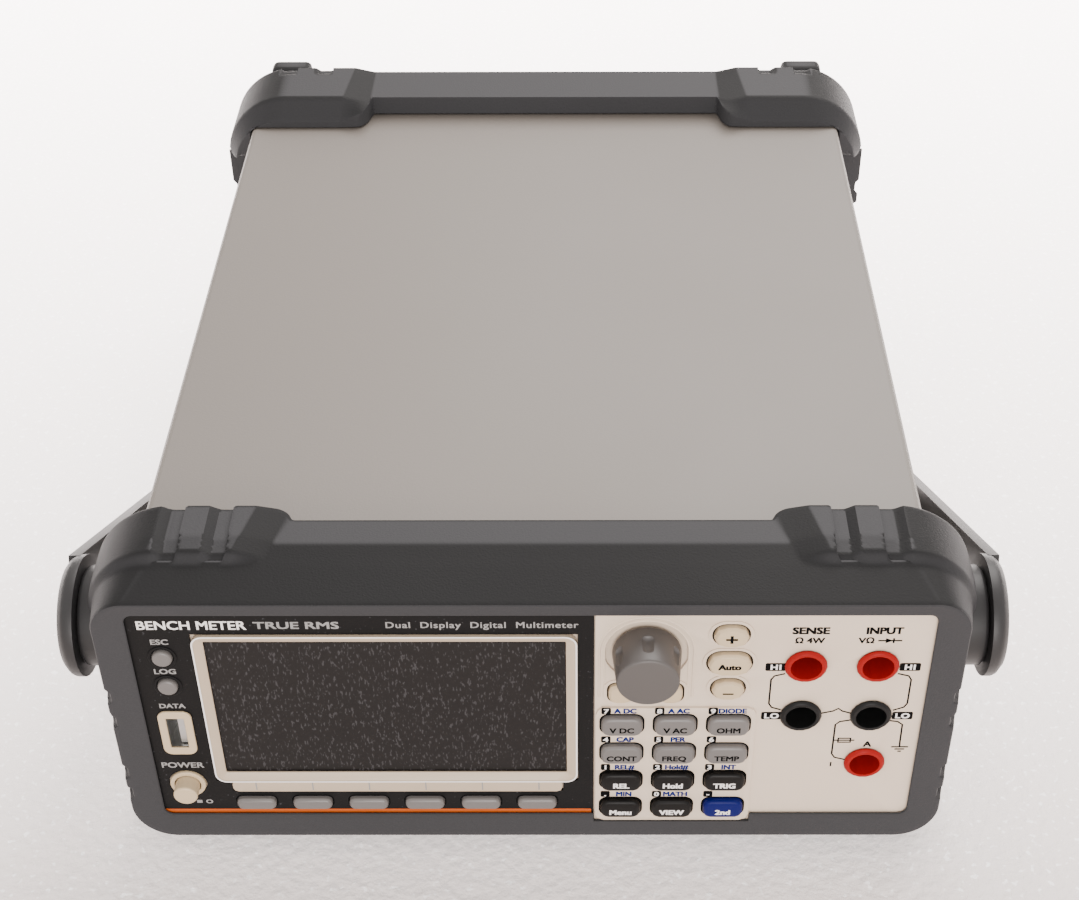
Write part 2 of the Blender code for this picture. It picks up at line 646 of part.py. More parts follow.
def key_mat_and_board():
    """The rubber mat that springs the keys back, and the board behind it, open for what passes."""
    left, right = LEFT + SHEET + CLEAR_INSIDE, DIVIDER + 3 * KEY_PITCH_X + 2.5
    low, high = CASE_BOTTOM + TRAY + CLEAR_INSIDE, TOP - SHEET - CLEAR_INSIDE
    usb_w, usb_h = USB_SLOT_WIDTH / 2 + USB_WALL + FIT, USB_SLOT_HEIGHT / 2 + USB_WALL + FIT
    layers = (
        ("key_mat", MAT_FRONT, MAT_THICK, material("mat_rubber", (0.35, 0.35, 0.34), 0.8)),
        ("front_board", FRONT_BOARD, BOARD, board_green()),
    )
    for name, front, thick, made_of in layers:
        bm = bmesh.new()
        add_box(bm, (left, right), (front, front + thick), (low, high))
        made = new_object(name, bm, made_of)
        before, behind = front - 1.0, front + thick + 1.0
        bm = bmesh.new()
        add_cylinder(bm, COLUMN_X, (before, behind), POWER_Z, POWER_RADIUS + 0.8, 16)
        add_box(bm, (COLUMN_X - usb_w, COLUMN_X + usb_w), (before, behind), (USB_Z - usb_h, USB_Z + usb_h))
        if name == "key_mat":
            add_cylinder(bm, KNOB_X, (before, behind), KNOB_Z, ENCODER_SIZE / math.sqrt(2) + FIT, 16)
            x = (SCREEN_LEFT - FIT, SCREEN_RIGHT + FIT)
            add_box(bm, x, (before, behind), (SCREEN_BOTTOM - FIT, TOP))
        tool_of(made, f"{name}_holes", bm)


def knob_and_encoder():
    """The knob on its sliding shaft, the rotor that turns with it, and the encoder's housing."""
    depth = FRONT_BOARD - FIT - PANEL
    housing_front = PANEL_BACK + FIT - PANEL
    recess_gap = KNOB_RECESS - KNOB_PUSH - KNOB_GAP
    bore = SHAFT_RADIUS + FIT
    bore_end = KNOB_PROUD - KNOB_FACE_THICK
    outside = (
        (KNOB_BASE_RADIUS, -recess_gap), (KNOB_BASE_RADIUS, KNOB_SKIRT),
        (KNOB_BASE_RADIUS - 0.45, KNOB_SKIRT + 0.5),
        (KNOB_FACE_RADIUS, KNOB_PROUD - 1.0), (KNOB_FACE_RADIUS - 0.9, KNOB_PROUD), (0.0, KNOB_PROUD),
    )
    profile = outside[::-1] + ((bore, -recess_gap), (bore, bore_end), (0.0, bore_end))
    place = (KNOB_X, PANEL, KNOB_Z)
    knob = turned("knob", profile, material("knob_grey", (0.24, 0.23, 0.22), 0.4), place, segments=36)
    bm = bmesh.new()
    for i in range(KNOB_FLUTES):
        angle = math.radians(90 + 360 * i / KNOB_FLUTES)
        radius = KNOB_BASE_RADIUS + FLUTE_OUTSET
        x, z = KNOB_X + radius * math.cos(angle), KNOB_Z + radius * math.sin(angle)
        add_cylinder(bm, x, (PANEL - KNOB_PROUD + 2.2, PANEL - 2 * KNOB_SKIRT), z, FLUTE_RADIUS, 12)
    tool_of(knob, "knob_flutes", bm)

    shaft = ((0.0, bore_end - FIT), (SHAFT_RADIUS, bore_end - FIT), (SHAFT_RADIUS, -depth + KNOB_PUSH),
             (0.0, -depth + KNOB_PUSH))
    turned("encoder_shaft", shaft, steel(), place, segments=16)
    rotor_front, rotor_back = -housing_front - ENCODER_FRONT, -depth + ENCODER_REAR
    rotor = ((ROTOR_RADIUS, rotor_front), (ROTOR_RADIUS, rotor_back), (bore, rotor_back), (bore, rotor_front))
    turned("encoder_rotor", rotor, black_plastic(), place, closed=True, segments=16)

    half = ENCODER_SIZE / 2
    bm = bmesh.new()
    y = (PANEL + housing_front, PANEL + depth)
    add_box(bm, (KNOB_X - half, KNOB_X + half), y, (KNOB_Z - half, KNOB_Z + half))
    housing = new_object("encoder_housing", bm, steel())
    bm = bmesh.new()
    add_cylinder(bm, KNOB_X, (PANEL, PANEL - rotor_back + FIT), KNOB_Z, ROTOR_RADIUS + FIT, 20)
    tool_of(housing, "rotor_seat", bm)
    bm = bmesh.new()
    add_cylinder(bm, KNOB_X, (PANEL, PANEL + depth + 1.0), KNOB_Z, bore, 16)
    tool_of(housing, "shaft_clearance", bm)


def power_button():
    """The round push button, its collar in the fascia, and the latching switch behind it."""
    place = (COLUMN_X, PANEL, POWER_Z)
    reach = FRONT_BOARD + BOARD + 1.0 - PANEL
    button = ((0.0, POWER_PROUD), (POWER_RADIUS - 0.4, POWER_PROUD), (POWER_RADIUS, POWER_PROUD - 0.4),
              (POWER_RADIUS, -reach), (0.0, -reach))
    turned("power_button", button, cream_plastic(), place)
    inner = POWER_RADIUS + FIT
    ring = ((POWER_RING_RADIUS - 0.3, POWER_RING_PROUD), (POWER_RING_RADIUS, POWER_RING_PROUD - 0.3),
            (POWER_RING_RADIUS, -FASCIA_THICK), (inner, -FASCIA_THICK), (inner, POWER_RING_PROUD))
    turned("power_button_ring", ring, cream_plastic(), place, closed=True)
    switch_front = PANEL + reach + POWER_TRAVEL + FIT
    bm = bmesh.new()
    width, length, height = SWITCH_SIZE
    x, z = (COLUMN_X - width / 2, COLUMN_X + width / 2), (POWER_Z - height / 2, POWER_Z + height / 2)
    add_box(bm, x, (switch_front, switch_front + length), z)
    new_object("power_switch", bm, black_plastic())


def usb_host_socket():
    """The front USB socket: a thin shell with a tongue inside."""
    half_w, half_h = USB_SLOT_WIDTH / 2, USB_SLOT_HEIGHT / 2
    front = PANEL + USB_SETBACK
    bm = bmesh.new()
    x = (COLUMN_X - half_w - USB_WALL, COLUMN_X + half_w + USB_WALL)
    add_box(bm, x, (front, front + USB_DEPTH), (USB_Z - half_h - USB_WALL, USB_Z + half_h + USB_WALL))
    made = new_object("usb_host_socket", bm, steel())
    bm = bmesh.new()
    cavity = front + USB_DEPTH - 3.0
    x, z = (COLUMN_X - half_w, COLUMN_X + half_w), (USB_Z - half_h, USB_Z + half_h)
    add_box(bm, x, (front - 1.0, cavity), z)
    tool_of(made, "usb_slot", bm)
    bm = bmesh.new()
    x = (COLUMN_X + 0.2, COLUMN_X + half_w - 0.7)
    add_box(bm, x, (front + 1.0, cavity + 1.0), (USB_Z - half_h + 0.6, USB_Z + half_h - 0.6))
    tool_of(made, "usb_tongue", bm, "UNION")


def channel(bm, half_width, z_open, z_web, thick, y, radius):
    """A sheet bent into a channel along Y, its web at z_web and its legs ending at z_open."""
    down = 1.0 if z_open < z_web else -1.0

    def bend(side, inset):
        centre_x, centre_z = side * (half_width - radius), z_web - down * radius
        r = radius - inset
        steps = range(4) if side < 0 else range(3, -1, -1)
        return [
            (centre_x + side * r * math.cos(angle), centre_z + down * r * math.sin(angle))
            for angle in (math.radians(30 * i) for i in steps)
        ]

    outer = [(-half_width, z_open)] + bend(-1, 0.0) + bend(1, 0.0) + [(half_width, z_open)]
    inner_half = half_width - thick
    inner = [(inner_half, z_open)] + bend(1, thick)[::-1] + bend(-1, thick)[::-1] + [(-inner_half, z_open)]
    points = outer + inner
    add_loft(bm, ((y[0], points), (y[1], points)))


def case():
    """The painted cover, bent over the top and both sides, and the tray that closes it below."""
    y = (PANEL_BACK + FIT, REAR_PLATE_FRONT - FIT)
    bm = bmesh.new()
    channel(bm, RIGHT, CASE_BOTTOM + TRAY + FIT, TOP, SHEET, y, 2.0)
    new_object("case_cover", bm, case_paint())
    bm = bmesh.new()
    wall = RIGHT - SHEET - FIT
    add_box(bm, (LEFT, RIGHT), y, (CASE_BOTTOM, CASE_BOTTOM + TRAY))
    made = new_object("chassis_tray", bm, steel())
    flange_top = CASE_BOTTOM + 14.0
    for name, side in (("left_flange", -1), ("right_flange", 1)):
        bm = bmesh.new()
        x = sorted((side * wall, side * (wall - TRAY)))
        add_box(bm, x, (y[0] + 20.0, y[1] - 10.0), (CASE_BOTTOM + TRAY / 2, flange_top))
        tool_of(made, name, bm, "UNION")


def inside():
    """The main board with its tall parts, and the mains transformer, both over the tray."""
    low = CASE_BOTTOM + MAIN_BOARD_LIFT
    y = (PANEL + 40.0, REAR_PLATE_FRONT - 22.0)
    bm = bmesh.new()
    add_box(bm, (LEFT + 62.0, RIGHT - 12.0), y, (low, low + BOARD))
    board = new_object("main_board", bm, board_green())
    for name, x, along, height in BOARD_PARTS:
        bm = bmesh.new()
        y_part = (y[0] + along[0], min(y[0] + along[1], y[1] - CLEAR_INSIDE))
        add_box(bm, x, y_part, (low + BOARD / 2, low + BOARD + height))
        tool_of(board, name, bm, "UNION")
    core_x = (LEFT + 8.0, LEFT + 56.0)
    middle = REAR_PLATE_FRONT - 62.0
    bm = bmesh.new()
    add_box(bm, core_x, (middle - 20.0, middle + 20.0), (CASE_BOTTOM + TRAY + FIT, CASE_BOTTOM + 50.0))
    core = new_object("transformer", bm, material("lamination", (0.12, 0.11, 0.10), 0.5, 0.6))
    bm = bmesh.new()
    x = (core_x[0] + 8.0, core_x[1] - 8.0)
    add_rounded(bm, x, (middle - 29.0, middle + 29.0), (CASE_BOTTOM + 12.0, CASE_BOTTOM + 42.0), 4.0)
    tool_of(core, "windings", bm, "UNION")


def ring_sections(stations):
    """Outlines round the case, from (y, side, top, bottom, top corner, bottom corner) outside it."""
    return [
        (y, outline((LEFT - side, RIGHT + side), (CASE_BOTTOM - bottom, TOP + top), low, high, 6))
        for y, side, top, bottom, high, low in stations
    ]


def pad_keepers(name, stations):
    """Blocks over the four corners that bound the pads, each station being (y, foot) for the top ones."""
    bm = bmesh.new()
    outer, over, foot_z = RIGHT + 30.0, PAD_TOP + 5.0, PAD_TOP - 3.0
    for side in (-1, 1):
        sections = []
        for y, foot in stations:
            upper = foot + (PAD_INNER - foot) * (over - foot_z) / (PAD_TOP - foot_z)
            points = (
                (foot, TOP - PAD_SIDE_DROP), (foot, foot_z), (upper, over), (outer, over),
                (outer, TOP - PAD_SIDE_DROP),
            )
            sections.append((y, [(side * x, z) for x, z in points]))
        add_loft(bm, sections)
        x = sorted((side * (PAD_FOOT + 4.0), side * outer))
        add_box(bm, x, (stations[0][0], stations[-1][0]), (-5.0, CASE_BOTTOM + FOOT_RISE))
    return new_object(name, bm, None, CUTTERS)


def bumper(name, ring, pad_stations, keeper_stations, groove_y):
    """A rubber ring round the case, with a grooved pad on each of its four corners."""
    bm = bmesh.new()
    add_loft(bm, ring_sections(ring), closed=True)
    made = new_object(name, bm, rubber())
    bm = bmesh.new()
    add_loft(bm, ring_sections(pad_stations))
    pads = new_object(f"{name}_pads", bm, None, CUTTERS)
    boolean(pads, pad_keepers(f"{name}_pad_bounds", keeper_stations), "INTERSECT")
    bm = bmesh.new()
    y = (pad_stations[0][0] - 1.0, pad_stations[-1][0] + 1.0)
    add_box(bm, (LEFT - FIT, RIGHT + FIT), y, (CASE_BOTTOM - FIT, TOP + FIT))
    tool_of(pads, f"{name}_case_space", bm)
    boolean(made, pads, "UNION")
    bm = bmesh.new()
    for groove in GROOVES:
        for side in (-1, 1):
            x = sorted((side * (groove - GROOVE_WIDTH / 2), side * (groove + GROOVE_WIDTH / 2)))
            add_box(bm, x, groove_y, (PAD_TOP - GROOVE_DEPTH, PAD_TOP + 5.0))
    tool_of(made, f"{name}_grooves", bm)
    return made


def front_bumper():
    """The front bumper: its lip holds the panel, and its sides make room for the handle's hubs."""
    ridge = (FRONT_SIDE - RIDGE_DROP_SIDE, BAND_TOP - RIDGE_DROP, BAND_BOTTOM - RIDGE_DROP - 1.8)
    opening = (-OPENING_SIDE, -OPENING_TOP, -OPENING_BOTTOM, OPENING_CORNER, OPENING_CORNER)
    inner = (FIT + 0.1, FIT + 0.1, FIT + 0.1, 1.0, 1.0)
    lip_back = PANEL - FIT
    back = BAND + FRONT_BAND
    band = (FRONT_SIDE, BAND_TOP, BAND_BOTTOM, CORNER_TOP, CORNER_BOTTOM)
    ring = (
        (FRONT + 0.3, *opening), (FRONT, *ridge, RIDGE_CORNER, RIDGE_CORNER + 2.5), (BAND, *band),
        (back, *band), (back, *inner), (lip_back, *inner), (lip_back, *opening),
    )
    start = FRONT + PAD_START
    share = PAD_START / FRONT_SLOPE
    base = [low + (high - low) * share for low, high in zip(ridge, band)]
    pad_top, pad_corner = BAND_TOP + PAD_PROUD, CORNER_TOP + PAD_PROUD
    full = (FRONT_SIDE + PAD_SIDE_PROUD, pad_top, CASE_BOTTOM, pad_corner, CORNER_BOTTOM)
    bevelled = (base[0] + 1.6, base[1] + PAD_PROUD + 0.3, CASE_BOTTOM - 1.0, CORNER_TOP, CORNER_BOTTOM)
    flat_end = back + PAD_OVERHANG
    pad_stations = (
        (start, base[0] - 0.2, base[1] - 0.2, base[2] - 0.2, CORNER_TOP - 4.0, CORNER_BOTTOM),
        (start + PAD_EDGE, *bevelled), (BAND + 0.9, *full), (flat_end, *full),
        (flat_end + PAD_TAIL, 4.0, 3.0, 3.0, CORNER_TOP - 8.0, CORNER_BOTTOM - 5.0),
    )
    keepers = (
        (start - 1.0, PAD_INNER - 1.5), (back - 1.0, PAD_FOOT), (flat_end, PAD_INNER + 1.5),
        (flat_end + PAD_TAIL + 1.0, PAD_INNER + 4.0),
    )
    made = bumper("front_bumper", ring, pad_stations, keepers, (start + 1.2, flat_end + PAD_TAIL + 1.0))
    bm = bmesh.new()
    for side in (-1, 1):
        for lift in SIDE_GROOVES:
            face = side * (RIGHT + FRONT_SIDE - SIDE_GROOVE_DEPTH)
            z = (CASE_BOTTOM + lift - SIDE_GROOVE_WIDTH / 2, CASE_BOTTOM + lift + SIDE_GROOVE_WIDTH / 2)
            add_box(bm, sorted((face, face + side * 5.0)), (FRONT + 2.0, back + 1.0), z)
    tool_of(made, "side_grooves", bm)
    bm = bmesh.new()
    for side in (-1, 1):
        x = sorted((side * (RIGHT - 1.0), side * (RIGHT + 30.0)))
        add_cylinder(bm, x, HUB_Y, HUB_Z, HUB_RADIUS + FIT, 28, "X")
    tool_of(made, "hub_room", bm)
    bm = bmesh.new()
    low = CASE_BOTTOM + KEYPAD_LIFT - POD_MARGIN - FIT
    x = (DIVIDER, DIVIDER + 3 * KEY_PITCH_X + 2 * FIT)
    add_rounded(bm, x, (FRONT - 1.0, PANEL), (low, low + 10.0), 2.5)
    tool_of(made, "keypad_notch", bm)


def rear_bumper():
    """The rear bumper: its lip holds the rear panel, and four feet let the instrument stand on end."""
    drop = RIDGE_DROP_SIDE / 2
    ridge = (REAR_SIDE - drop, BAND_TOP - REAR_RIDGE_DROP, BAND_BOTTOM - RIDGE_DROP)
    opening = (-REAR_LIP, -REAR_LIP, -REAR_LIP, OPENING_CORNER, OPENING_CORNER)
    inner = (FIT + 0.1, FIT + 0.1, FIT + 0.1, 1.0, 1.0)
    lip_front = REAR_RIDGE - LIP_THICK
    band = (REAR_SIDE, BAND_TOP, BAND_BOTTOM, CORNER_TOP, CORNER_BOTTOM)
    ring = (
        (REAR_BAND, *band), (REAR_CREASE, *band), (REAR_RIDGE, *ridge, CORNER_TOP - 6.0, CORNER_BOTTOM - 3.0),
        (REAR_RIDGE, *opening), (lip_front, *opening), (lip_front, *inner), (REAR_BAND, *inner),
    )
    start = REAR_BAND - REAR_PAD_REACH
    pad_top, pad_corner = BAND_TOP + PAD_PROUD, CORNER_TOP + PAD_PROUD
    full = (REAR_SIDE + PAD_SIDE_PROUD, pad_top, CASE_BOTTOM, pad_corner, CORNER_BOTTOM)
    tail = [value - 0.4 for value in ridge]
    pad_stations = (
        (start, REAR_SIDE - 2.5, 3.0, 3.0, CORNER_TOP - 4.0, CORNER_BOTTOM - 5.0),
        (start + 6.5, *full), (REAR_CREASE, *full),
        (REAR_RIDGE - PAD_EDGE, REAR_SIDE, BAND_TOP - 0.6, CASE_BOTTOM - 2.0, CORNER_TOP, CORNER_BOTTOM),
        (REAR_RIDGE - 0.4, *tail, CORNER_TOP - 6.0, CORNER_BOTTOM - 3.0),
    )
    keepers = (
        (start - 1.0, PAD_INNER - 2.5), (start + 5.0, PAD_FOOT + 2.0), (REAR_BAND + 1.0, PAD_FOOT),
        (REAR_RIDGE, PAD_FOOT + 4.0),
    )
    made = bumper("rear_bumper", ring, pad_stations, keepers, (start + 6.0, REAR_RIDGE + 1.0))
    bm = bmesh.new()
    low, high = CASE_BOTTOM - REAR_FOOT_OVER, TOP + REAR_FOOT_OVER
    heights = ((low, low + REAR_FOOT_HEIGHT), (high - REAR_FOOT_HEIGHT, high))
    for z in heights:
        for side in (-1, 1):
            inner_x, outer_x = side * REAR_FOOT_INNER, side * REAR_FOOT_OUTER
            base = outline(sorted((inner_x, outer_x)), z, 2.0, 2.0, 2)
            x = sorted((inner_x + side, outer_x - 2.0 * side))
            face = outline(x, (z[0] + 1.0, z[1] - 1.0), 2.0, 2.0, 2)
            add_loft(bm, ((REAR_RIDGE - LIP_THICK / 2, base), (BACK - 1.5, base), (BACK, face)))
    tool_of(made, "rear_feet", bm, "UNION")


def hubs():
    """The fixed hubs that the handle turns on, each with a short stub."""
    profile = (
        (0.0, HUB_END + STUB_LENGTH), (STUB_RADIUS, HUB_END + STUB_LENGTH), (STUB_RADIUS, HUB_END),
        (HUB_RADIUS, HUB_END), (HUB_RADIUS, FIT), (0.0, FIT),
    )
    for name, side in (("left_hub", -1), ("right_hub", 1)):
        turn = (0.0, side * math.radians(90), 0.0)
        turned(name, profile, handle_plastic(), (side * RIGHT, HUB_Y, HUB_Z), segments=28, turn=turn)


def handle():
    """The carrying handle: a disc and an arm on each side, and the bar that joins them."""
    outer = RIGHT + HUB_END + FIT + DISC_THICK
    bm = bmesh.new()
    x = (-outer + 0.5, outer - 0.5)
    verts = add_box(bm, x, (BAR_Y - BAR_WIDE / 2, BAR_Y + BAR_WIDE / 2), (BAR_Z - BAR_THICK / 2, BAR_TOP))
    edges = {edge for vert in verts for edge in vert.link_edges}
    along = [e for e in edges if abs(e.verts[0].co.x - e.verts[1].co.x) > outer]
    bmesh.ops.bevel(bm, geom=along, offset=2.4, segments=3, profile=0.5, affect="EDGES")
    made = new_object("handle", bm, handle_plastic())
    turn = Matrix.Rotation(-ARM_ANGLE, 4, "X")
    for name, side in (("left", -1), ("right", 1)):
        bm = bmesh.new()
        x = sorted((side * outer, side * (outer - ARM_THICK)))
        sections = [(0.0, ARM_WIDE), (ARM_LENGTH, ARM_NARROW), (ARM_LENGTH + ARM_TIP, ARM_TIP)]
        add_loft(bm, [
            (y, [(x[0], -wide / 2), (x[1], -wide / 2), (x[1], wide / 2), (x[0], wide / 2)])
            for y, wide in sections
        ])
        bmesh.ops.transform(bm, matrix=turn, verts=bm.verts)
        bmesh.ops.translate(bm, vec=(0.0, HUB_Y, HUB_Z), verts=bm.verts)
        arm = new_object(f"{name}_arm", bm, None, CUTTERS)
        bm = bmesh.new()
        y = (BAR_Y - 3 * BAR_WIDE, BAR_Y + 3 * BAR_WIDE)
        add_box(bm, (-2 * outer, 2 * outer), y, (-BAR_WIDE, BAR_TOP - BAR_THICK + FIT))
        tool_of(arm, f"{name}_arm_trim", bm)
        boolean(made, arm, "UNION")
        disc = (
            (0.0, DISC_THICK), (DISC_RADIUS - 2.2, DISC_THICK), (DISC_RADIUS - 0.5, DISC_THICK - 1.4),
            (DISC_RADIUS, DISC_THICK - 2.4), (DISC_RADIUS, 0.0), (0.0, 0.0),
        )
        place = (side * (outer - DISC_THICK), HUB_Y, HUB_Z)
        facing = (0.0, side * math.radians(90), 0.0)
        tool = turned(f"{name}_disc", disc, None, place, segments=32, turn=facing)
        PARTS.objects.unlink(tool)
        CUTTERS.objects.link(tool)
        boolean(made, tool, "UNION")
    bm = bmesh.new()
    for side in (-1, 1):
        depth = STUB_LENGTH + FIT
        x = sorted((side * (outer - DISC_THICK - 1.0), side * (outer - DISC_THICK - FIT + depth)))
        add_cylinder(bm, x, HUB_Y, HUB_Z, STUB_RADIUS + FIT, 20, "X")
    tool_of(made, "stub_bores", bm)
    place_origin(made, (0.0, HUB_Y, HUB_Z))


def walled_socket(name, x, z, cavity, made_of):
    """A box socket through the rear panel, open to the rear, as (x, z) centre and cavity size."""
    width, height, depth = cavity
    half_w, half_h = width / 2 + SOCKET_WALL, height / 2 + SOCKET_WALL
    back = REAR_FACE + 0.6
    bm = bmesh.new()
    add_box(bm, (x - half_w, x + half_w), (back - depth - SOCKET_WALL, back), (z - half_h, z + half_h))
    made = new_object(name, bm, made_of)
    bm = bmesh.new()
    add_box(bm, (x - width / 2, x + width / 2), (back - depth, back + 1.0), (z - height / 2, z + height / 2))
    tool_of(made, f"{name}_cavity", bm)
    return made, (half_w + FIT, half_h + FIT)


def rear_panel():
    """The rear plate with the mains inlet, its fuse drawer, and two data sockets."""
    bm = bmesh.new()
    x, z = (LEFT + FIT, RIGHT - FIT), (CASE_BOTTOM + FIT, TOP - FIT)
    add_box(bm, x, (REAR_PLATE_FRONT, REAR_FACE), z)
    plate = new_object("rear_panel", bm, case_paint())
    holes = []
    for name, from_left, cavity in (
        ("lan_socket", LAN_FROM_LEFT, LAN_CAVITY), ("usb_device_socket", DEVICE_FROM_LEFT, DEVICE_CAVITY),
    ):
        centre = (LEFT + from_left, CASE_BOTTOM + REAR_SOCKET_LIFT)
        _, half = walled_socket(name, *centre, cavity, steel())
        holes.append((centre, half))
    inlet_x, inlet_z = RIGHT - INLET_FROM_RIGHT, CASE_BOTTOM + INLET_LIFT
    holes.append(((inlet_x, inlet_z), (INLET_WIDTH / 2 + FIT, INLET_HEIGHT / 2 + FIT)))
    bm = bmesh.new()
    for (hx, hz), (half_w, half_h) in holes:
        x, y = (hx - half_w, hx + half_w), (REAR_PLATE_FRONT - 1.0, REAR_FACE + 1.0)
        add_box(bm, x, y, (hz - half_h, hz + half_h))
    tool_of(plate, "rear_holes", bm)

    face = REAR_FACE + INLET_PROUD
    width, height, depth = INLET_CAVITY
    bm = bmesh.new()
    x = (inlet_x - INLET_WIDTH / 2, inlet_x + INLET_WIDTH / 2)
    z = (inlet_z - INLET_HEIGHT / 2, inlet_z + INLET_HEIGHT / 2)
    add_rounded(bm, x, (face - depth - 4.0, face), z, 2.0, 2)
    inlet = new_object("mains_inlet", bm, black_plastic())
    cavity_z = z[1] - 3.5 - height / 2
    bm = bmesh.new()
    x = (inlet_x - width / 2, inlet_x + width / 2)
    add_box(bm, x, (face - depth, face + 1.0), (cavity_z - height / 2, cavity_z + height / 2))
    slot_z = z[0] + 1.8 + DRAWER_HEIGHT / 2
    half_w, half_h = DRAWER_WIDTH / 2 + FIT, DRAWER_HEIGHT / 2 + FIT
    x = (inlet_x - half_w, inlet_x + half_w)
    add_box(bm, x, (face - DRAWER_DEPTH - FIT, face + 1.0), (slot_z - half_h, slot_z + half_h))
    tool_of(inlet, "inlet_cavities", bm)
    bm = bmesh.new()
    for offset_x, offset_z in INLET_PINS:
        px, pz = inlet_x + offset_x, cavity_z + offset_z
        x, z_pin = (px - PIN_HALF_WIDTH, px + PIN_HALF_WIDTH), (pz - PIN_HALF_HEIGHT, pz + PIN_HALF_HEIGHT)
        add_box(bm, x, (face - depth - 1.0, face - PIN_SETBACK), z_pin)
    tool_of(inlet, "inlet_pins", bm, "UNION")
    bm = bmesh.new()
    x = (inlet_x - DRAWER_WIDTH / 2, inlet_x + DRAWER_WIDTH / 2)
    z = (slot_z - DRAWER_HEIGHT / 2, slot_z + DRAWER_HEIGHT / 2)
    add_box(bm, x, (face - DRAWER_DEPTH, face + 0.8), z)
    new_object("fuse_drawer", bm, black_plastic())


clear_scene()
front_panel()
display_fascia()
screen_bezel()
display_window()
keys()
sockets()
input_board()
key_mat_and_board()
knob_and_encoder()
power_button()
usb_host_socket()
case()
inside()
front_bumper()
rear_bumper()
hubs()
handle()
rear_panel()
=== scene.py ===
import math

import bpy
from mathutils import Matrix, Vector


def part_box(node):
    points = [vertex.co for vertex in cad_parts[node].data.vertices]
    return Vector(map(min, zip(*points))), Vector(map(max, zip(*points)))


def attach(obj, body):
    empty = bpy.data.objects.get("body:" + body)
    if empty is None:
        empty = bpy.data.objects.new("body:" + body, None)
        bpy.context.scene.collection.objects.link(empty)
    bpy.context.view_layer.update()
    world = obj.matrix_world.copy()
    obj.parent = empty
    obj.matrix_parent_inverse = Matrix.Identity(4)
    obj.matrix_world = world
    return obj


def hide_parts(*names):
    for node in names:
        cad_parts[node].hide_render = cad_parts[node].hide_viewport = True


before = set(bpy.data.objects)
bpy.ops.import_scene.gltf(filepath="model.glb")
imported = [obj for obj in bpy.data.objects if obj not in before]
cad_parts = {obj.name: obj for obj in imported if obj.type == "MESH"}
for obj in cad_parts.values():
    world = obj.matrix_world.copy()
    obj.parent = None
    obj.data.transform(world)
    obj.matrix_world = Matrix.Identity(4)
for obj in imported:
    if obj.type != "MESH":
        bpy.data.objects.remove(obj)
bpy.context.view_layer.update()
MM = 0.001


# The room: a pale floor with painted light that glows brighter towards the back, one wide lamp overhead, a
# weaker one from the front, and an even pale sky.
# The camera looks down on the front of the instrument, and its shift sets the framing.
panel_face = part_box("display_fascia")[0].y
camera_pitch, camera_yaw, camera_roll = math.radians(39.297), math.radians(-0.186), math.radians(-0.174)
level = Vector((math.cos(camera_yaw), -math.sin(camera_yaw), 0.0))
ahead = Vector((
    math.sin(camera_yaw) * math.cos(camera_pitch), math.cos(camera_yaw) * math.cos(camera_pitch),
    -math.sin(camera_pitch),
))
upward = level.cross(ahead)
right = math.cos(camera_roll) * level + math.sin(camera_roll) * upward
upward = math.cos(camera_roll) * upward - math.sin(camera_roll) * level
camera = bpy.data.objects.new("camera", bpy.data.cameras.new("camera"))
bpy.context.scene.collection.objects.link(camera)
camera.data.sensor_width = 36.0
camera.data.lens = 60.68
camera.data.shift_x, camera.data.shift_y = -0.03346, 0.01105
camera.data.clip_start, camera.data.clip_end = 0.02, 20.0
camera.matrix_world = Matrix.Translation((12.88 * MM, panel_face - 339.1 * MM, 425.3 * MM)) @ Matrix(
    (right, upward, -ahead)
).transposed().to_4x4()
bpy.context.scene.camera = camera

world = bpy.data.worlds.new("room")
bpy.context.scene.world = world
world.use_nodes = True
world.node_tree.nodes["Background"].inputs["Color"].default_value = (1.0, 0.945, 0.915, 1.0)
world.node_tree.nodes["Background"].inputs["Strength"].default_value = 1.6
for lamp_name, lamp_place, lamp_size, lamp_power in (
    ("overhead_lamp", (0.30, 0.75, 1.15), 1.1, 31.0),
    ("front_lamp", (0.10, -1.5, 0.45), 0.8, 20.0),
):
    lamp = bpy.data.objects.new(lamp_name, bpy.data.lights.new(lamp_name, "AREA"))
    bpy.context.scene.collection.objects.link(lamp)
    lamp.data.size = lamp_size
    lamp.data.energy = lamp_power
    lamp.data.color = (1.0, 0.955, 0.93)
    lamp.location = lamp_place
    lamp.rotation_euler = (Vector((0.0, 0.0, 0.05)) - lamp.location).to_track_quat("-Z", "Y").to_euler()

bpy.ops.mesh.primitive_plane_add(size=12.0, location=(0.0, 0.0, 0.0))
floor = bpy.context.active_object
floor.name = "floor"


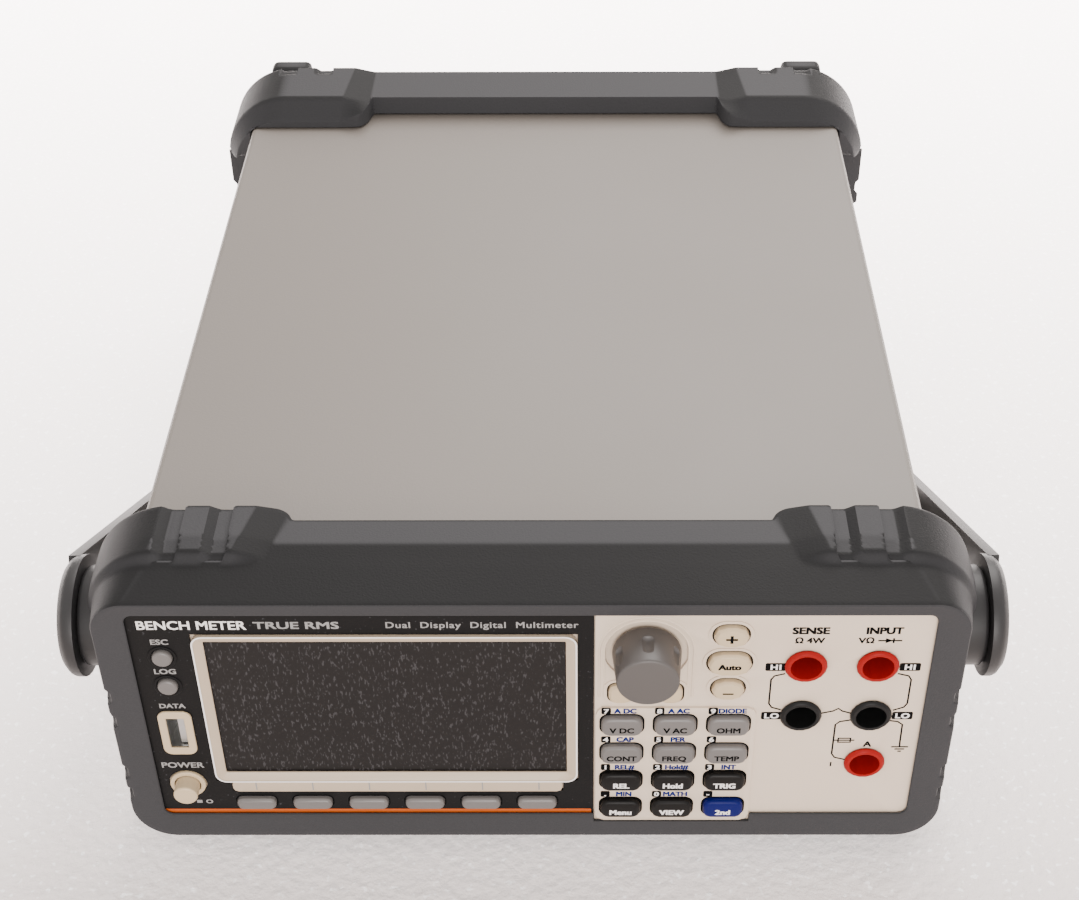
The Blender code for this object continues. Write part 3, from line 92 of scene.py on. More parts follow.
# The case: a cover of painted sheet steel over a plain tray. The paint is a fine powder coat with a slight
# orange peel, a little lighter and darker over wide patches.
def finish(name, colour, roughness, grain, depth, shade=0.06, metallic=0.0, coat=0.0, shine=0.5):
    """A moulded or painted finish: grain is the pattern's size in metres, and depth its relief."""
    made = bpy.data.materials.new(name)
    made.use_nodes = True
    nodes, links = made.node_tree.nodes, made.node_tree.links
    shader = nodes["Principled BSDF"]
    shader.inputs["Metallic"].default_value = metallic
    shader.inputs["Coat Weight"].default_value = coat
    shader.inputs["Specular IOR Level"].default_value = shine
    place = nodes.new("ShaderNodeTexCoord")
    fine = nodes.new("ShaderNodeTexNoise")
    fine.inputs["Scale"].default_value = 1.0 / grain
    fine.inputs["Detail"].default_value = 3.0
    relief = nodes.new("ShaderNodeBump")
    relief.inputs["Strength"].default_value = 1.0
    relief.inputs["Distance"].default_value = depth
    patches = nodes.new("ShaderNodeTexNoise")
    patches.inputs["Scale"].default_value = 14.0
    patches.inputs["Detail"].default_value = 5.0
    tint = nodes.new("ShaderNodeMix")
    tint.data_type = "RGBA"
    tint.inputs["A"].default_value = (*[c * (1.0 - shade) for c in colour], 1.0)
    tint.inputs["B"].default_value = (*[min(c * (1.0 + shade), 1.0) for c in colour], 1.0)
    speck = nodes.new("ShaderNodeMix")
    speck.data_type = "RGBA"
    speck.blend_type = "MULTIPLY"
    speck.inputs["Factor"].default_value = 0.5
    ramp = nodes.new("ShaderNodeMapRange")
    ramp.inputs["To Min"].default_value = 1.0 - 2 * shade
    ramp.inputs["To Max"].default_value = 1.0 + 2 * shade
    gloss = nodes.new("ShaderNodeMapRange")
    gloss.inputs["To Min"].default_value = roughness - 0.06
    gloss.inputs["To Max"].default_value = roughness + 0.06
    for noise in (fine, patches):
        links.new(place.outputs["Object"], noise.inputs["Vector"])
    links.new(fine.outputs["Fac"], relief.inputs["Height"])
    links.new(relief.outputs["Normal"], shader.inputs["Normal"])
    links.new(patches.outputs["Fac"], tint.inputs["Factor"])
    links.new(fine.outputs["Fac"], ramp.inputs["Value"])
    links.new(tint.outputs["Result"], speck.inputs["A"])
    links.new(ramp.outputs["Result"], speck.inputs["B"])
    links.new(speck.outputs["Result"], shader.inputs["Base Color"])
    links.new(patches.outputs["Fac"], gloss.inputs["Value"])
    links.new(gloss.outputs["Result"], shader.inputs["Roughness"])
    return made


def speckle(made_of, fleck, stretch, share, size):
    """Scatter pale flecks over a finish: size in metres, stretched along z, share the part that they cover."""
    nodes, links = made_of.node_tree.nodes, made_of.node_tree.links
    shader = nodes["Principled BSDF"]
    place = nodes.new("ShaderNodeTexCoord")
    longer = nodes.new("ShaderNodeMapping")
    longer.inputs["Scale"].default_value = (1.0, 1.0, 1.0 / stretch)
    grain = nodes.new("ShaderNodeTexNoise")
    grain.inputs["Scale"].default_value = 1.0 / size
    grain.inputs["Detail"].default_value = 1.0
    bright = nodes.new("ShaderNodeMapRange")
    bright.inputs["From Min"].default_value = 0.78 - share
    bright.inputs["From Max"].default_value = 0.88 - share
    over = nodes.new("ShaderNodeMix")
    over.data_type = "RGBA"
    over.inputs["B"].default_value = (*fleck, 1.0)
    links.new(place.outputs["Object"], longer.inputs["Vector"])
    links.new(longer.outputs["Vector"], grain.inputs["Vector"])
    links.new(grain.outputs["Fac"], bright.inputs["Value"])
    links.new(bright.outputs["Result"], over.inputs["Factor"])
    links.new(shader.inputs["Base Color"].links[0].from_socket, over.inputs["A"])
    links.new(over.outputs["Result"], shader.inputs["Base Color"])


def dress(node, made_of):
    """Give a CAD node whose shape is right its finish."""
    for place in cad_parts[node].material_slots:
        place.material = made_of


floor_foam = finish("pale_floor_foam", (0.73, 0.655, 0.625), 0.7, 0.0035, 0.0011, shade=0.03)
speckle(floor_foam, (1.0, 0.98, 0.97), 1.0, 0.16, 0.0022)
floor.data.materials.append(floor_foam)
# Painted light: the floor glows by emission, from none in front of the instrument to strong behind it, so it is
# painted brighter towards the back.
floor_painted_light_place = floor_foam.node_tree.nodes.new("ShaderNodeTexCoord")
floor_painted_light_along = floor_foam.node_tree.nodes.new("ShaderNodeSeparateXYZ")
floor_painted_light = floor_foam.node_tree.nodes.new("ShaderNodeMapRange")
for field, value in (("From Min", -0.20), ("From Max", 0.45), ("To Min", 0.0), ("To Max", 7.4)):
    floor_painted_light.inputs[field].default_value = value
floor_shader = floor_foam.node_tree.nodes["Principled BSDF"]
floor_shader.inputs["Emission Color"].default_value = (1.0, 0.93, 0.91, 1.0)
floor_foam.node_tree.links.new(floor_painted_light_place.outputs["Object"], floor_painted_light_along.inputs["Vector"])
floor_foam.node_tree.links.new(floor_painted_light_along.outputs["Y"], floor_painted_light.inputs["Value"])
floor_foam.node_tree.links.new(floor_painted_light.outputs["Result"], floor_shader.inputs["Emission Strength"])
case_paint = finish("case_powder_coat", (0.140, 0.124, 0.108), 0.5, 0.0007, 0.00004, shade=0.03)
bare_steel = finish("zinc_plated_steel", (0.55, 0.55, 0.54), 0.38, 0.004, 0.00002, metallic=1.0)
dress("case_cover", case_paint)
dress("chassis_tray", bare_steel)


# The bumpers: two rings of dark grey rubber pushed over the case's ends, with grooved pads on the corners.
# Every moulded edge is rounded, and the skin has a fine matt grain.
def activate(piece):
    bpy.ops.object.select_all(action="DESELECT")
    piece.select_set(True)
    bpy.context.view_layer.objects.active = piece


def round_edges(made, width, segments, limit=30.0, miter="MITER_SHARP"):
    """Round over the active piece's edges that are sharper than the limit, in degrees."""
    rounding = made.modifiers.new("rounded_edges", "BEVEL")
    rounding.width = width
    rounding.segments = segments
    rounding.limit_method = "ANGLE"
    rounding.angle_limit = math.radians(limit)
    rounding.miter_outer = miter
    bpy.ops.object.modifier_apply(modifier=rounding.name)


def softened(node, name, body, made_of, edge, segments=2, limit=28.0, smooth=35.0):
    """Stand in for a CAD node by the same shape with its edges rounded over."""
    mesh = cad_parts[node].data.copy()
    made = bpy.data.objects.new(name, mesh)
    bpy.context.scene.collection.objects.link(made)
    mesh.materials.clear()
    mesh.materials.append(made_of)
    activate(made)
    bpy.ops.object.mode_set(mode="EDIT")
    bpy.ops.mesh.select_all(action="SELECT")
    bpy.ops.mesh.remove_doubles(threshold=0.000005)
    bpy.ops.mesh.dissolve_limited(angle_limit=math.radians(0.4), use_dissolve_boundaries=False)
    bpy.ops.object.mode_set(mode="OBJECT")
    if mesh.has_custom_normals:
        bpy.ops.mesh.customdata_custom_splitnormals_clear()
    round_edges(made, edge, segments, limit, "MITER_ARC")
    bpy.ops.object.shade_smooth_by_angle(angle=math.radians(smooth))
    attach(made, body)
    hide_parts(node)
    return made


rubber = finish("bumper_rubber_skin", (0.0345, 0.0345, 0.0368), 0.6, 0.0006, 0.00008, shade=0.12, shine=0.15)
# Painted shade: the rubber's colour is multiplied down by how far each face turns upward, so the flat tops are
# painted darker than the fronts and sides.
facing = rubber.node_tree.nodes.new("ShaderNodeNewGeometry")
upright = rubber.node_tree.nodes.new("ShaderNodeSeparateXYZ")
painted_facing_shade = rubber.node_tree.nodes.new("ShaderNodeValToRGB")
for at, value in ((0.0, 1.0), (0.70, 0.60), (0.93, 0.21), (0.985, 0.18), (1.0, 0.20)):
    stop = painted_facing_shade.color_ramp.elements[0] if at == 0.0 else painted_facing_shade.color_ramp.elements.new(at)
    stop.position = at
    stop.color = (value, value, value, 1.0)
painted_facing_shade.color_ramp.elements.remove(painted_facing_shade.color_ramp.elements[-1])
painted_shade_mix = rubber.node_tree.nodes.new("ShaderNodeMix")
painted_shade_mix.data_type = "RGBA"
painted_shade_mix.blend_type = "MULTIPLY"
painted_shade_mix.inputs["Factor"].default_value = 1.0
under = rubber.node_tree.nodes["Principled BSDF"].inputs["Base Color"]
rubber.node_tree.links.new(facing.outputs["Normal"], upright.inputs["Vector"])
rubber.node_tree.links.new(upright.outputs["Z"], painted_facing_shade.inputs["Fac"])
rubber.node_tree.links.new(under.links[0].from_socket, painted_shade_mix.inputs["A"])
rubber.node_tree.links.new(painted_facing_shade.outputs["Color"], painted_shade_mix.inputs["B"])
rubber.node_tree.links.new(painted_shade_mix.outputs["Result"], under)
case_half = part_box("case_cover")[1].x / MM
case_top, case_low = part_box("case_cover")[1].z / MM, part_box("chassis_tray")[0].z / MM
pad_side_end, foot_pad_end = 83.5, 21.5
low_pad_start, low_pad_full = 66.5, 69.0
groove_middles, groove_half, groove_depth = (84.05, 97.1), 2.75, 1.4
side_notches, notch_half, notch_depth = (28.0, 37.0, 57.5, 67.0), 2.3, 1.2
soft_edge = 0.32


def facet(value, start, end):
    """0 before start, 1 after end, and a straight slope between them."""
    return min(max((value - start) / (end - start), 0.0), 1.0)


def between(value, middle, half):
    """1 within half of the middle, 0 outside, with a narrow soft edge."""
    return 1.0 - facet(abs(value - middle), half - soft_edge, half + soft_edge)


def stations():
    """Steps round the right half of a ring, from below to above: (stretch, share of its length)."""
    steps = [("low", 0.62 * i / 8) for i in range(8)] + [("low", 0.62 + 0.38 * i / 30) for i in range(30)]
    steps += [("low_corner", i / 16) for i in range(16)] + [("side", i / 84) for i in range(84)]
    steps += [("high_corner", i / 56) for i in range(56)]
    steps += [("high", 0.44 * i / 66) for i in range(66)] + [("high", 0.44 + 0.56 * i / 9) for i in range(10)]
    return steps


def ring_place(station, side, high, low, high_radius, low_radius):
    """(x, z) at one station of a rounded rectangle that stands outside the case by these distances."""
    stretch, share = station
    x, top, bottom = case_half + side, case_top + high, case_low - low
    if stretch == "low":
        return (x - low_radius) * share, bottom
    if stretch == "low_corner":
        angle = math.radians(90.0 * share)
        return x - low_radius * (1.0 - math.sin(angle)), bottom + low_radius * (1.0 - math.cos(angle))
    if stretch == "side":
        return x, bottom + low_radius + (top - high_radius - bottom - low_radius) * share
    if stretch == "high_corner":
        angle = math.radians(90.0 * share)
        return x - high_radius * (1.0 - math.cos(angle)), top - high_radius * (1.0 - math.sin(angle))
    return (x - high_radius) * (1.0 - share), top


def along(keys, counts):
    """Values at every step of a closed profile that runs through its key sections."""
    steps = []
    for i, count in enumerate(counts):
        first, last = keys[i], keys[(i + 1) % len(keys)]
        steps += [[a + (b - a) * j / count for a, b in zip(first, last)] for j in range(count)]
    return steps


def moulded_ring(name, start, plain, padded, counts, notched, pad_run):
    """A bumper: a grid rolled up into the ring's sections, plain or padded at the corners.

    plain and padded are the key sections, each (distance from the start, then what ring_place takes).
    notched is the run of steps that the side notches cut, and pad_run tells where the pads begin and end.
    """
    half_ring, plain_steps, padded_steps = stations(), along(plain, counts), along(padded, counts)
    around, across = 2 * len(half_ring), len(plain_steps)
    bpy.ops.object.select_all(action="DESELECT")
    bpy.ops.mesh.primitive_grid_add(x_subdivisions=across, y_subdivisions=around, size=0.1)
    made = bpy.context.active_object
    made.name = name
    points = made.data.vertices
    for i, station in enumerate(half_ring):
        column = []
        for step, (base, pad) in enumerate(zip(plain_steps, padded_steps)):
            x, z = ring_place(station, *base[1:])
            notch = max(between(z, middle, notch_half) for middle in side_notches)
            notch *= 1.0 if notched[0] <= step < notched[1] else 0.0
            foot, inner = (a + (b - a) * facet(base[0], *pad_run[:2]) for a, b in (pad_run[2:4], pad_run[4:]))
            low_share = facet(x, low_pad_start, low_pad_full)
            low_share *= 1.0 - facet(z, foot_pad_end - 1.2, foot_pad_end + 1.2)
            down = facet(z, pad_side_end, pad_side_end + 2.4)
            share = max(facet(x, foot, inner) * down, low_share)
            reach = max(math.sqrt(1.0 - (1.0 - facet(x, foot, foot + 5.0)) ** 2) * down, low_share)
            groove = max(between(x, middle, groove_half) for middle in groove_middles)
            raised = facet(pad[0] - base[0] + pad[2] - base[2], 0.8, 1.2)
            groove *= groove_depth * raised if z > case_top - 2.0 else 0.0
            px, pz = ring_place(station, pad[1] - groove, pad[2] - groove, *pad[3:])
            x -= notch_depth * notch if station[0] == "side" else 0.0
            column.append((x + (px - x) * share, base[0] + (pad[0] - base[0]) * reach, z + (pz - z) * share))
        before, after = column[-1:] + column[:-1], column[1:] + column[:1]
        eased = [
            tuple(0.25 * a + 0.5 * b + 0.25 * c for a, b, c in zip(*three))
            for three in zip(before, column, after)
        ]
        for j in range(across + 1):
            x, y, z = eased[j % across]
            for row, turn in ((i, 1.0), (around - 1 - i, -1.0), (around + i, 1.0)):
                if row <= around:
                    points[row * (across + 1) + j].co = (turn * x * MM, start + y * MM, z * MM)
    activate(made)
    bpy.ops.object.mode_set(mode="EDIT")
    bpy.ops.mesh.select_all(action="SELECT")
    bpy.ops.mesh.remove_doubles(threshold=0.000001)
    bpy.ops.mesh.normals_make_consistent(inside=False)
    bpy.ops.object.mode_set(mode="OBJECT")
    bpy.ops.object.shade_smooth_by_angle(angle=math.radians(24))
    made.data.materials.append(rubber)
    return made


def cut_away(made, tool):
    """Cut one solid out of another, and clear the cutter away."""
    activate(made)
    cut = made.modifiers.new("cut", "BOOLEAN")
    cut.operation = "DIFFERENCE"
    cut.object = tool
    cut.solver = "EXACT"
    bpy.ops.object.modifier_apply(modifier=cut.name)
    bpy.data.objects.remove(tool, do_unlink=True)


def carve(made, x, y, z):
    """Cut a box between these pairs of limits, in millimetres, out of a piece."""
    bpy.ops.mesh.primitive_cube_add(size=MM)
    tool = bpy.context.active_object
    tool.data.transform(Matrix.Diagonal((x[1] - x[0], y[1] - y[0], z[1] - z[0], 1.0)))
    tool.data.transform(Matrix.Translation([(a + b) / 2 * MM for a, b in (x, y, z)]))
    cut_away(made, tool)


front_start, rear_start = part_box("front_bumper")[0].y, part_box("rear_bumper")[1].y - 36.0 * MM
lip_back = (panel_face - front_start) / MM - 0.3
band = (11.7, 7.5, 5.3, 22.0, 15.0)
pad_band = (12.7, 9.5, 9.5, 24.0, 15.0)
held, lip = (0.4, 0.4, 0.4, 1.0, 1.0), (-1.9, -0.4, -9.3, 2.5, 2.5)
front_bumper = moulded_ring(
    "front_bumper_skin", front_start,
    (
        (0.5, *lip), (0.0, 7.1, 3.9, -0.1, 9.5, 12.0), (12.6, 9.97, 6.15, 3.27, 17.3, 13.9),
        (15.2, 10.56, 6.61, 3.96, 18.9, 14.3), (20.2, *band), (25.0, *band), (29.5, *band), (29.5, *held),
        (lip_back, *held), (lip_back, *lip),
    ),
    (
        (0.5, *lip), (0.0, 7.1, 3.9, -0.1, 9.5, 12.0), (12.6, 9.97, 6.15, 3.27, 17.3, 13.9),
        (15.2, 11.6, 8.9, 8.9, 21.0, 14.3), (21.1, *pad_band), (27.5, *pad_band), (33.2, *pad_band),
        (39.5, *held), (lip_back, *held), (lip_back, *lip),
    ),
    (8, 16, 5, 9, 7, 7, 14, 12, 3, 2), (6, 44), (12.8, 29.0, 71.0, 64.6, 80.0, 75.0),
)
panel_y = panel_face / MM
carve(front_bumper, (16.6, 60.9), (panel_y - 3.0, panel_y), (case_low + 6.2, case_low + 20.0))
rear_lip = (-4.0, -4.0, -4.0, 2.5, 2.5)
rear_ridge = (7.4, 2.0, 1.7, 16.0, 12.0)
rear_bumper = moulded_ring(
    "rear_bumper_skin", rear_start,
    (
        (0.0, *held), (0.0, *band), (0.5, 9.7, 7.5, 5.3, 22.0, 15.0), (20.2, 9.7, 7.5, 5.3, 22.0, 15.0),
        (29.5, *rear_ridge), (29.5, *rear_lip), (28.3, *rear_lip), (28.3, *held),
    ),
    (
        (-10.0, *held), (-10.0, 7.2, 3.0, 3.0, 18.0, 10.0), (-3.5, 10.7, 9.5, 9.5, 24.0, 15.0),
        (19.8, 10.7, 9.5, 9.5, 24.0, 15.0), (29.5, *rear_ridge), (29.5, *rear_lip), (28.3, *rear_lip),
        (28.3, *held),
    ),
    (12, 10, 26, 14, 9, 2, 4, 22), (0, 40), (0.0, 29.0, 63.9, 63.9, 75.0, 71.0),
)
for skin, node in ((front_bumper, "front_bumper"), (rear_bumper, "rear_bumper")):
    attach(skin, "instrument")
    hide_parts(node)


def block(name, x, y, z, made_of, edge, body="instrument"):
    """A box between these pairs of limits, in millimetres, with its edges rounded."""
    bpy.ops.object.select_all(action="DESELECT")
    bpy.ops.mesh.primitive_cube_add(size=MM)
    made = bpy.context.active_object
    made.name = name
    made.data.transform(Matrix.Diagonal((x[1] - x[0], y[1] - y[0], z[1] - z[0], 1.0)))
    made.data.transform(Matrix.Translation([(a + b) / 2 * MM for a, b in (x, y, z)]))
    round_edges(made, edge * MM, 4)
    bpy.ops.object.shade_smooth_by_angle(angle=math.radians(40))
    made.data.materials.append(made_of)
    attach(made, body)
    return made


foot_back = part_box("rear_bumper")[1].y / MM
for side in (-1, 1):
    x = sorted((side * 90.0, side * 105.0))
    for name, z in (("low", (case_low - 4.5, case_low + 9.5)), ("high", (case_top - 9.5, case_top + 4.5))):
        block(f"rear_foot_{name}_{side + 2}", x, (foot_back - 8.0, foot_back), z, rubber, 2.2)
    x, y = sorted((side * 70.5, side * 77.5)), (foot_back - 9.0, foot_back - 5.2)
    block(f"rear_bump_{side + 2}", x, y, (case_top - 4.0, case_top + 2.9), rubber, 1.0)


# The hubs and the handle: glass-filled plastic, dark grey, with a fine spark-eroded grain.
# The arms turn on the hubs, and the bar joins them under the case.
handle_plastic = finish(
    "handle_plastic_skin", (0.0165, 0.0162, 0.0168), 0.42, 0.0006, 0.00002, shade=0.04, shine=0.35,
)
for side in ("left", "right"):
    softened(f"{side}_hub", f"{side}_hub_skin", "instrument", handle_plastic, 1.2 * MM, 3)
handle = softened("handle", "handle_skin", "handle", handle_plastic, 0.8 * MM, 3)


# The front panel: warm white plastic with a raised field for the keypad and a dished seat for the knob.
# It is let into the front bumper, and a black film covers its left part.
print_lift, pod_lift = 0.05, 0.85  # how far printing stands before the panel and before the keypad field
panel_print, pod_print = panel_face / MM - print_lift, panel_face / MM - pod_lift
panel_plastic = finish("panel_plastic_skin", (0.625, 0.512, 0.402), 0.42, 0.0005, 0.000012, shade=0.02)
softened("front_panel", "front_panel_skin", "instrument", panel_plastic, 0.35 * MM, 2, limit=40.0)
film = finish("fascia_film", (0.0052, 0.0050, 0.0052), 0.5, 0.0006, 0.00004, shade=0.12, shine=0.12)
speckle(film, (0.05, 0.05, 0.055), 1.3, 0.06, 0.0009)
dress("display_fascia", film)


# Lines and words: thin printed shapes just off the panel, and narrow dark rims of painted shadow that line the
# keys' openings.
def rounded(width, height, radius, steps=6):
    """Points round a rounded rectangle about its own middle, in millimetres."""
    points = []
    for corner, (sx, sz) in enumerate(((1, 1), (-1, 1), (-1, -1), (1, -1))):
        for i in range(steps + 1):
            angle = math.radians(90.0 * (corner + i / steps))
            points.append((
                sx * (width / 2 - radius) + radius * math.cos(angle),
                sz * (height / 2 - radius) + radius * math.sin(angle),
            ))
    return points


def face_at(x, z):
    """Where a surface first meets a line that runs straight back through x and z, in millimetres."""
    graph = bpy.context.evaluated_depsgraph_get()
    hit, place, *_ = bpy.context.scene.ray_cast(graph, Vector((x * MM, -0.3, z * MM)), Vector((0.0, 1.0, 0.0)))
    return place.y / MM if hit else panel_face / MM


def settle(made, x, y, z, made_of, body):
    """Turn a flat curve or text into a mesh that stands upright at this place and rides with a body."""
    bpy.context.scene.collection.objects.link(made)
    activate(made)
    bpy.ops.object.convert(target="MESH")
    made = bpy.context.active_object
    turn = Matrix.Translation((x * MM, y * MM, z * MM)) @ Matrix.Rotation(math.radians(90), 4, "X")
    made.data.transform(turn)
    made.data.materials.clear()
    made.data.materials.append(made_of)
    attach(made, body)
    return made


def shape(name, outlines, x, z, made_of, body="instrument", thick=0.05, edge=0.0,
          y=None):
    """A flat plate with these outlines, the later ones holes. y is its front, or it lies on the surface."""
    flat = bpy.data.curves.new(name, "CURVE")
    flat.dimensions = "2D"
    flat.fill_mode = "BOTH"
    flat.extrude = (thick / 2 - edge) * MM
    flat.bevel_depth = edge * MM
    flat.bevel_resolution = 2
    for outline in outlines:
        spline = flat.splines.new("POLY")
        spline.points.add(len(outline) - 1)
        for point, (px, pz) in zip(spline.points, outline):
            point.co = (px * MM, pz * MM, 0.0, 1.0)
        spline.use_cyclic_u = True
    front = face_at(x, z) - thick if y is None else y
    made = settle(bpy.data.objects.new(name, flat), x, front + thick / 2, z, made_of, body)
    if edge > 0.0:
        bpy.ops.object.shade_smooth_by_angle(angle=math.radians(40))
    return made


def stroke(name, points, width, made_of):
    """A printed line through these (x, z) points, as one flat band for each stretch joined into one piece."""
    x0, z0 = points[0]
    sides = []
    for turn in (1.0, -1.0):
        row = []
        for i, (x, z) in enumerate(points):
            before, after = points[max(i - 1, 0)], points[min(i + 1, len(points) - 1)]
            away = Vector((before[1] - after[1], after[0] - before[0])).normalized() * (width / 2 * turn)
            row.append((x + away.x - x0, z + away.y - z0))
        sides.append(row)
    outline = sides[0] + sides[1][::-1]
    return shape(name, (outline,), x0, z0, made_of, y=panel_print)


def word(name, text, x, z, height, made_of, body="instrument", bold=0.0, spread=1.0,
         align="CENTER", squeeze=1.0):
    """Printed letters centred on x and z, with capitals this tall. Bold ones are copies set a little apart."""
    letters = bpy.data.curves.new(name, "FONT")
    letters.body = text
    letters.size = height / 0.72 * MM
    letters.align_x = align
    letters.resolution_u = 3
    letters.extrude = 0.025 * MM
    letters.space_character = spread
    front = face_at(x, z) - print_lift
    made = settle(bpy.data.objects.new(name, letters), 0.0, 0.0, 0.0, made_of, body)
    made.data.transform(Matrix.Diagonal((squeeze, 1.0, 1.0, 1.0)))
    low = z - height / 2 - 0.6 * bold
    made.data.transform(Matrix.Translation(((x - bold) * MM, (front + 0.025) * MM, low * MM)))
    for count, step in ((3, (bold, 0.004, 0.0)), (2, (0.0, 0.012, 1.2 * bold))) if bold > 0.0 else ():
        heavier = made.modifiers.new("heavier", "ARRAY")
        heavier.use_relative_offset = False
        heavier.use_constant_offset = True
        heavier.constant_offset_displace = [c * MM for c in step]
        heavier.count = count
        bpy.ops.object.modifier_apply(modifier=heavier.name)
    return made


white_ink = finish("white_ink", (0.80, 0.77, 0.75), 0.5, 0.001, 0.0, shade=0.0)
pale_ink = finish("pale_grey_ink", (0.24, 0.235, 0.23), 0.5, 0.001, 0.0, shade=0.0)
black_ink = finish("black_ink", (0.0020, 0.0020, 0.0022), 0.6, 0.001, 0.0, shade=0.0, shine=0.05)
blue_ink = finish("blue_ink", (0.0015, 0.014, 0.110), 0.6, 0.001, 0.0, shade=0.0, shine=0.05)
orange_ink = finish("orange_ink", (0.42, 0.075, 0.008), 0.45, 0.001, 0.0, shade=0.03, shine=0.3)
rim_shade = finish("opening_shadow", (0.006, 0.006, 0.006), 0.8, 0.001, 0.0, shade=0.0, shine=0.0)
film_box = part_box("display_fascia")
film_left, film_right = film_box[0].x / MM, film_box[1].x / MM
shape(
    "orange_line", (rounded(film_right - film_left - 1.2, 1.9, 0.3),), (film_left + film_right) / 2, 19.0,
    orange_ink, y=panel_print,
)
for name, text, x, z, height, ink, bold, spread, squeeze in (
    ("title", "BENCH METER", -103.0, 93.0, 3.1, white_ink, 0.10, 1.0, 1.02),
    ("title_kind", "TRUE RMS", -72.3, 93.0, 2.5, pale_ink, 0.12, 1.0, 1.42),
    ("title_line", "Dual  Display  Digital  Multimeter", -38.0, 93.1, 2.2, pale_ink, 0.06, 1.1, 1.08),
):
    word(name, text, x, z, height, ink, "instrument", bold, spread, "LEFT", squeeze)
for name, text, x, z, height in (
    ("escape_word", "ESC", -97.7, 86.9, 1.9), ("log_word", "LOG", -97.7, 75.9, 1.9),
    ("data_word", "DATA", -97.7, 62.6, 1.7), ("power_word", "POWER", -98.2, 38.7, 2.2),
    ("off_word", "O", -92.6, 23.2, 1.6),
):
    word(name, text, x, z, height, pale_ink, squeeze=1.12, bold=0.08)
shape("on_mark", (rounded(1.5, 1.2, 0.1),), -95.4, 23.2, pale_ink, y=panel_print)


# The display: a pale frame that slopes in to a dark anti-glare window, with a lower step over the soft keys.
frame_plastic = finish("display_frame_plastic", (0.455, 0.362, 0.262), 0.40, 0.0005, 0.000012, shade=0.02)
softened("screen_bezel", "screen_bezel_skin", "instrument", frame_plastic, 0.35 * MM, 3, limit=25.0)
window = finish("display_window_film", (0.0100, 0.0089, 0.0088), 0.35, 0.0012, 0.00001, shade=0.12, shine=0.15)
speckle(window, (0.038, 0.036, 0.038), 2.8, 0.19, 0.00055)
dress("display_window", window)
# Painted highlight: a thin white ring along the frame's outer edge stands for the light caught by its rounded
# edge.
shape(
    "frame_edge_painted_highlight", (rounded(101.4, 57.2, 3.2), rounded(100.5, 56.3, 2.8)), -38.65, 60.8, white_ink,
    thick=0.06, y=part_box("screen_bezel")[0].y / MM - print_lift,
)
tick_start, tick_pitch = -78.4, 15.92
for number in range(6):
    x = tick_start + tick_pitch * number
    shape(f"frame_tick_{number + 1}", (rounded(0.35, 3.2, 0.1),), x, 30.4, pale_ink)


# The keys: moulded caps with rounded faces, light grey, dark grey, blue or cream.
grey_key = finish("light_grey_key", (0.118, 0.110, 0.105), 0.38, 0.0006, 0.00001, shade=0.03)
dark_key = finish("dark_grey_key", (0.0036, 0.0032, 0.0030), 0.40, 0.0006, 0.00001, shade=0.03, shine=0.16)
blue_key = finish("blue_key", (0.0006, 0.0028, 0.082), 0.38, 0.0006, 0.00001, shade=0.03, shine=0.12)
cream = finish("cream_plastic_skin", (0.52, 0.405, 0.255), 0.36, 0.0006, 0.00001, shade=0.02)
key_finishes = {}
for row in range(1, 5):
    for column in range(1, 4):
        key_finishes[f"keypad_key_{row}_{column}"] = grey_key if row < 3 else dark_key
key_finishes["keypad_key_4_3"] = blue_key
for number in range(1, 7):
    key_finishes[f"soft_key_{number}"] = grey_key
for name in ("escape_key", "log_key"):
    key_finishes[name] = grey_key
for name in ("range_up_key", "auto_key", "range_down_key", "left_arrow_key", "right_arrow_key"):
    key_finishes[name] = cream
for node, made_of in key_finishes.items():
    softened(node, f"{node}_cap", node, made_of, 0.5 * MM, 4, limit=20.0, smooth=60.0)


def middle_of(node):
    low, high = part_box(node)
    return (low.x + high.x) / 2 / MM, (low.z + high.z) / 2 / MM


flange = 1.05  # the part of each key behind the panel that is wider than its cap
for node in key_finishes:
    low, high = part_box(node)
    width, height = (high.x - low.x) / MM - 2 * flange, (high.z - low.z) / MM - 2 * flange
    x, z = middle_of(node)
    radius = {"keyp": 2.2, "soft": 1.6, "left": 2.2, "righ": 2.2}.get(node[:4], height * 0.48)
    radius = min(radius, height * 0.49, width * 0.49)
    on_pod = node.startswith("keypad")
    front = pod_print if on_pod else panel_print
    slot = "fascia_black" if x < film_right else "panel_plastic"
    rim = 0.5 if x > film_right else 0.4
    outline = rounded(width + 2 * rim, height + 2 * rim, radius + rim)
    hole = rounded(width + 0.1, height + 0.1, radius + 0.05)
    # Each key's opening is lined with a narrow dark rim of painted shadow.
    shape(f"{node}_opening", (outline, hole), x, z, rim_shade, y=front)
    if x > film_right and not on_pod:
        outline = rounded(width + 2.6, height + 2.4, radius + 1.2)
        hole = rounded(width + 1.1, height + 1.1, radius + 0.5)
        front = panel_face / MM - 0.28
        shape(f"{node}_collar", (outline, hole), x, z, panel_plastic, thick=0.30, edge=0.12, y=front)
key_words = (
    ("1_1", "V DC"), ("1_2", "V AC"), ("1_3", "OHM"), ("2_1", "CONT"), ("2_2", "FREQ"), ("2_3", "TEMP"),
    ("3_1", "REL"), ("3_2", "Hold"), ("3_3", "TRIG"), ("4_1", "Menu"), ("4_2", "VIEW"), ("4_3", "2nd"),
)
tags = "789456123.0-"
blue_words = ("A DC", "A AC", "DIODE", "CAP", "PER", "", "REL#", "Hold#", "INT", "MIN", "MATH", "")
